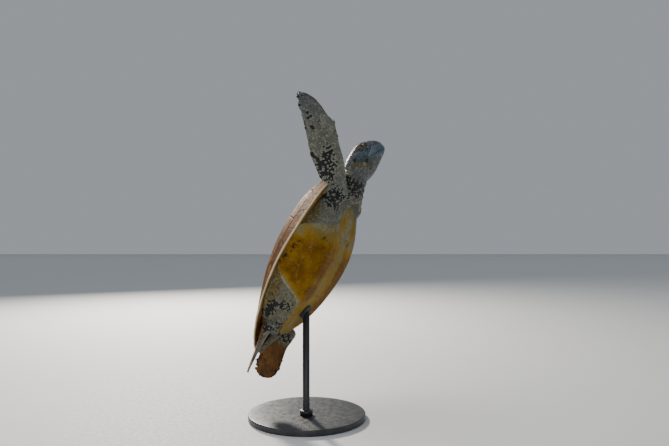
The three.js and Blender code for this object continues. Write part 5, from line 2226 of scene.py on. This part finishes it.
@dataclass(frozen=True)
class Lamp:
    """A soft area light that looks at the turtle."""

    name: str
    place: Point
    size: float
    power: float
    colour: Point = (1.0, 1.0, 1.0)
    target: Point = (0.05, 0.0, 0.75)

    def build(self) -> None:
        """Makes the lamp."""
        light = bpy.data.lights.new(self.name, "AREA")
        light.shape, light.size, light.energy, light.color = "DISK", self.size, self.power, self.colour
        made = bpy.data.objects.new(self.name, light)
        bpy.context.scene.collection.objects.link(made)
        way = np.array(self.place) - np.array(self.target)
        made.location = self.place
        pitch = math.atan2(math.hypot(way[0], way[1]), way[2])
        made.rotation_euler = (pitch, 0.0, math.atan2(way[0], -way[1]))


@dataclass(frozen=True)
class Studio:
    """Floor, lights, surroundings and the camera."""

    camera_place: Point = (0.1128, -2.667, 0.80)
    focal_pixels: float = 650.0
    frame_pixels: float = 669.0
    sensor: float = 36.0
    floor_half: float = 14.0
    surround: Point = (0.80, 0.86, 0.93)
    surround_strength: float = 0.4
    lamps: tuple[Lamp, ...] = (
        Lamp("sun_side", (-1.7, 4.2, 2.5), 0.6, 430.0, (1.0, 0.93, 0.82)),
        Lamp("overhead", (-1.2, 0.0, 3.1), 2.2, 44.0),
        Lamp("front_fill", (-0.1, -2.9, 1.2), 2.4, 19.0, (1.0, 0.98, 0.94)),
    )

    def build(self, floor: Material) -> None:
        """Makes the studio round the model."""
        scene = bpy.context.scene
        half = self.floor_half
        grid = np.linspace(-half, half, 9)
        x, y = np.meshgrid(grid, grid, indexing="ij")
        top = vec(x, y, 0 * x)
        ground = new_object("floor", closed_sheet(top, top - np.array([0, 0, 0.05])), floor)
        for lamp in self.lamps:
            lamp.build()
        world = bpy.data.worlds.new("studio")
        scene.world = world
        world.use_nodes = True
        backdrop = world.node_tree.nodes["Background"]
        backdrop.inputs["Color"].default_value = (*self.surround, 1.0)
        backdrop.inputs["Strength"].default_value = self.surround_strength
        lens = bpy.data.cameras.new("camera")
        lens.sensor_width = self.sensor
        lens.lens = self.focal_pixels / self.frame_pixels * self.sensor
        lens.clip_start, lens.clip_end = 0.05, 100.0
        camera = bpy.data.objects.new("camera", lens)
        camera.location = self.camera_place
        camera.rotation_euler = (math.pi / 2, 0.0, 0.0)
        scene.collection.objects.link(camera)
        scene.camera = camera


def main() -> None:
    """Builds the studio, the shell, the flesh with its scales, the face, the claws and the stand."""
    logging.basicConfig(level=logging.INFO, format="%(name)s %(message)s")
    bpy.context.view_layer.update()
    build_groups()
    skin = SkinFinish("turtle_skin", 0.55, scales=False).build()
    scales = SkinFinish("turtle_scales", 0.46, scales=True).build()
    horn = HornFinish("beak_horn", 0.38).build()
    Studio().build(FloorFinish("studio_floor", 0.75).build())
    Carapace().build(CarapaceFinish("carapace_horn", 0.6).build())
    PLASTRON.build(PlastronFinish("plastron_horn", 0.5).build())
    flesh = Flesh()
    eyes = [Eye(side) for side in Side]
    flesh.build_skin(skin, eyes)
    flesh.build_coats(scales)
    wet = EyeFinish("eye_wet", 0.08, coat=0.35).build()
    for eye in eyes:
        eye.build(wet)
    Beak("beak_upper_sheath", (*MOUTH_LINE, *UPPER_BEAK_TOP)).build(horn)
    lowered = tuple((x, z - MOUTH_GAP) for x, z in MOUTH_LINE)
    Beak("beak_lower_sheath", (*LOWER_BEAK_BASE, *lowered)).build(horn)
    dark_claw, pale_claw = (0.03, 0.02, 0.012), (0.16, 0.10, 0.05)
    claw = HornFinish("claw_horn", 0.35, dark=dark_claw, pale=pale_claw, share=0.55).build()
    for blade in BLADES:
        for number, (place, size) in enumerate(blade.claws, start=1):
            name = f"claw_{blade.name}_{number}"
            add_piece(f"{name}_horn", POSE.placed(claw_form(blade, place, size)), claw, (name,))
    steel = SteelFinish("stand_coat", 0.42, 0.4).build()
    rubber = SteelFinish("pad_rubber", 0.8, tint=(0.018, 0.018, 0.018), worn=(0.035, 0.034, 0.033)).build()
    Stand().build(steel, rubber)


if __name__ == "__main__":
    main()
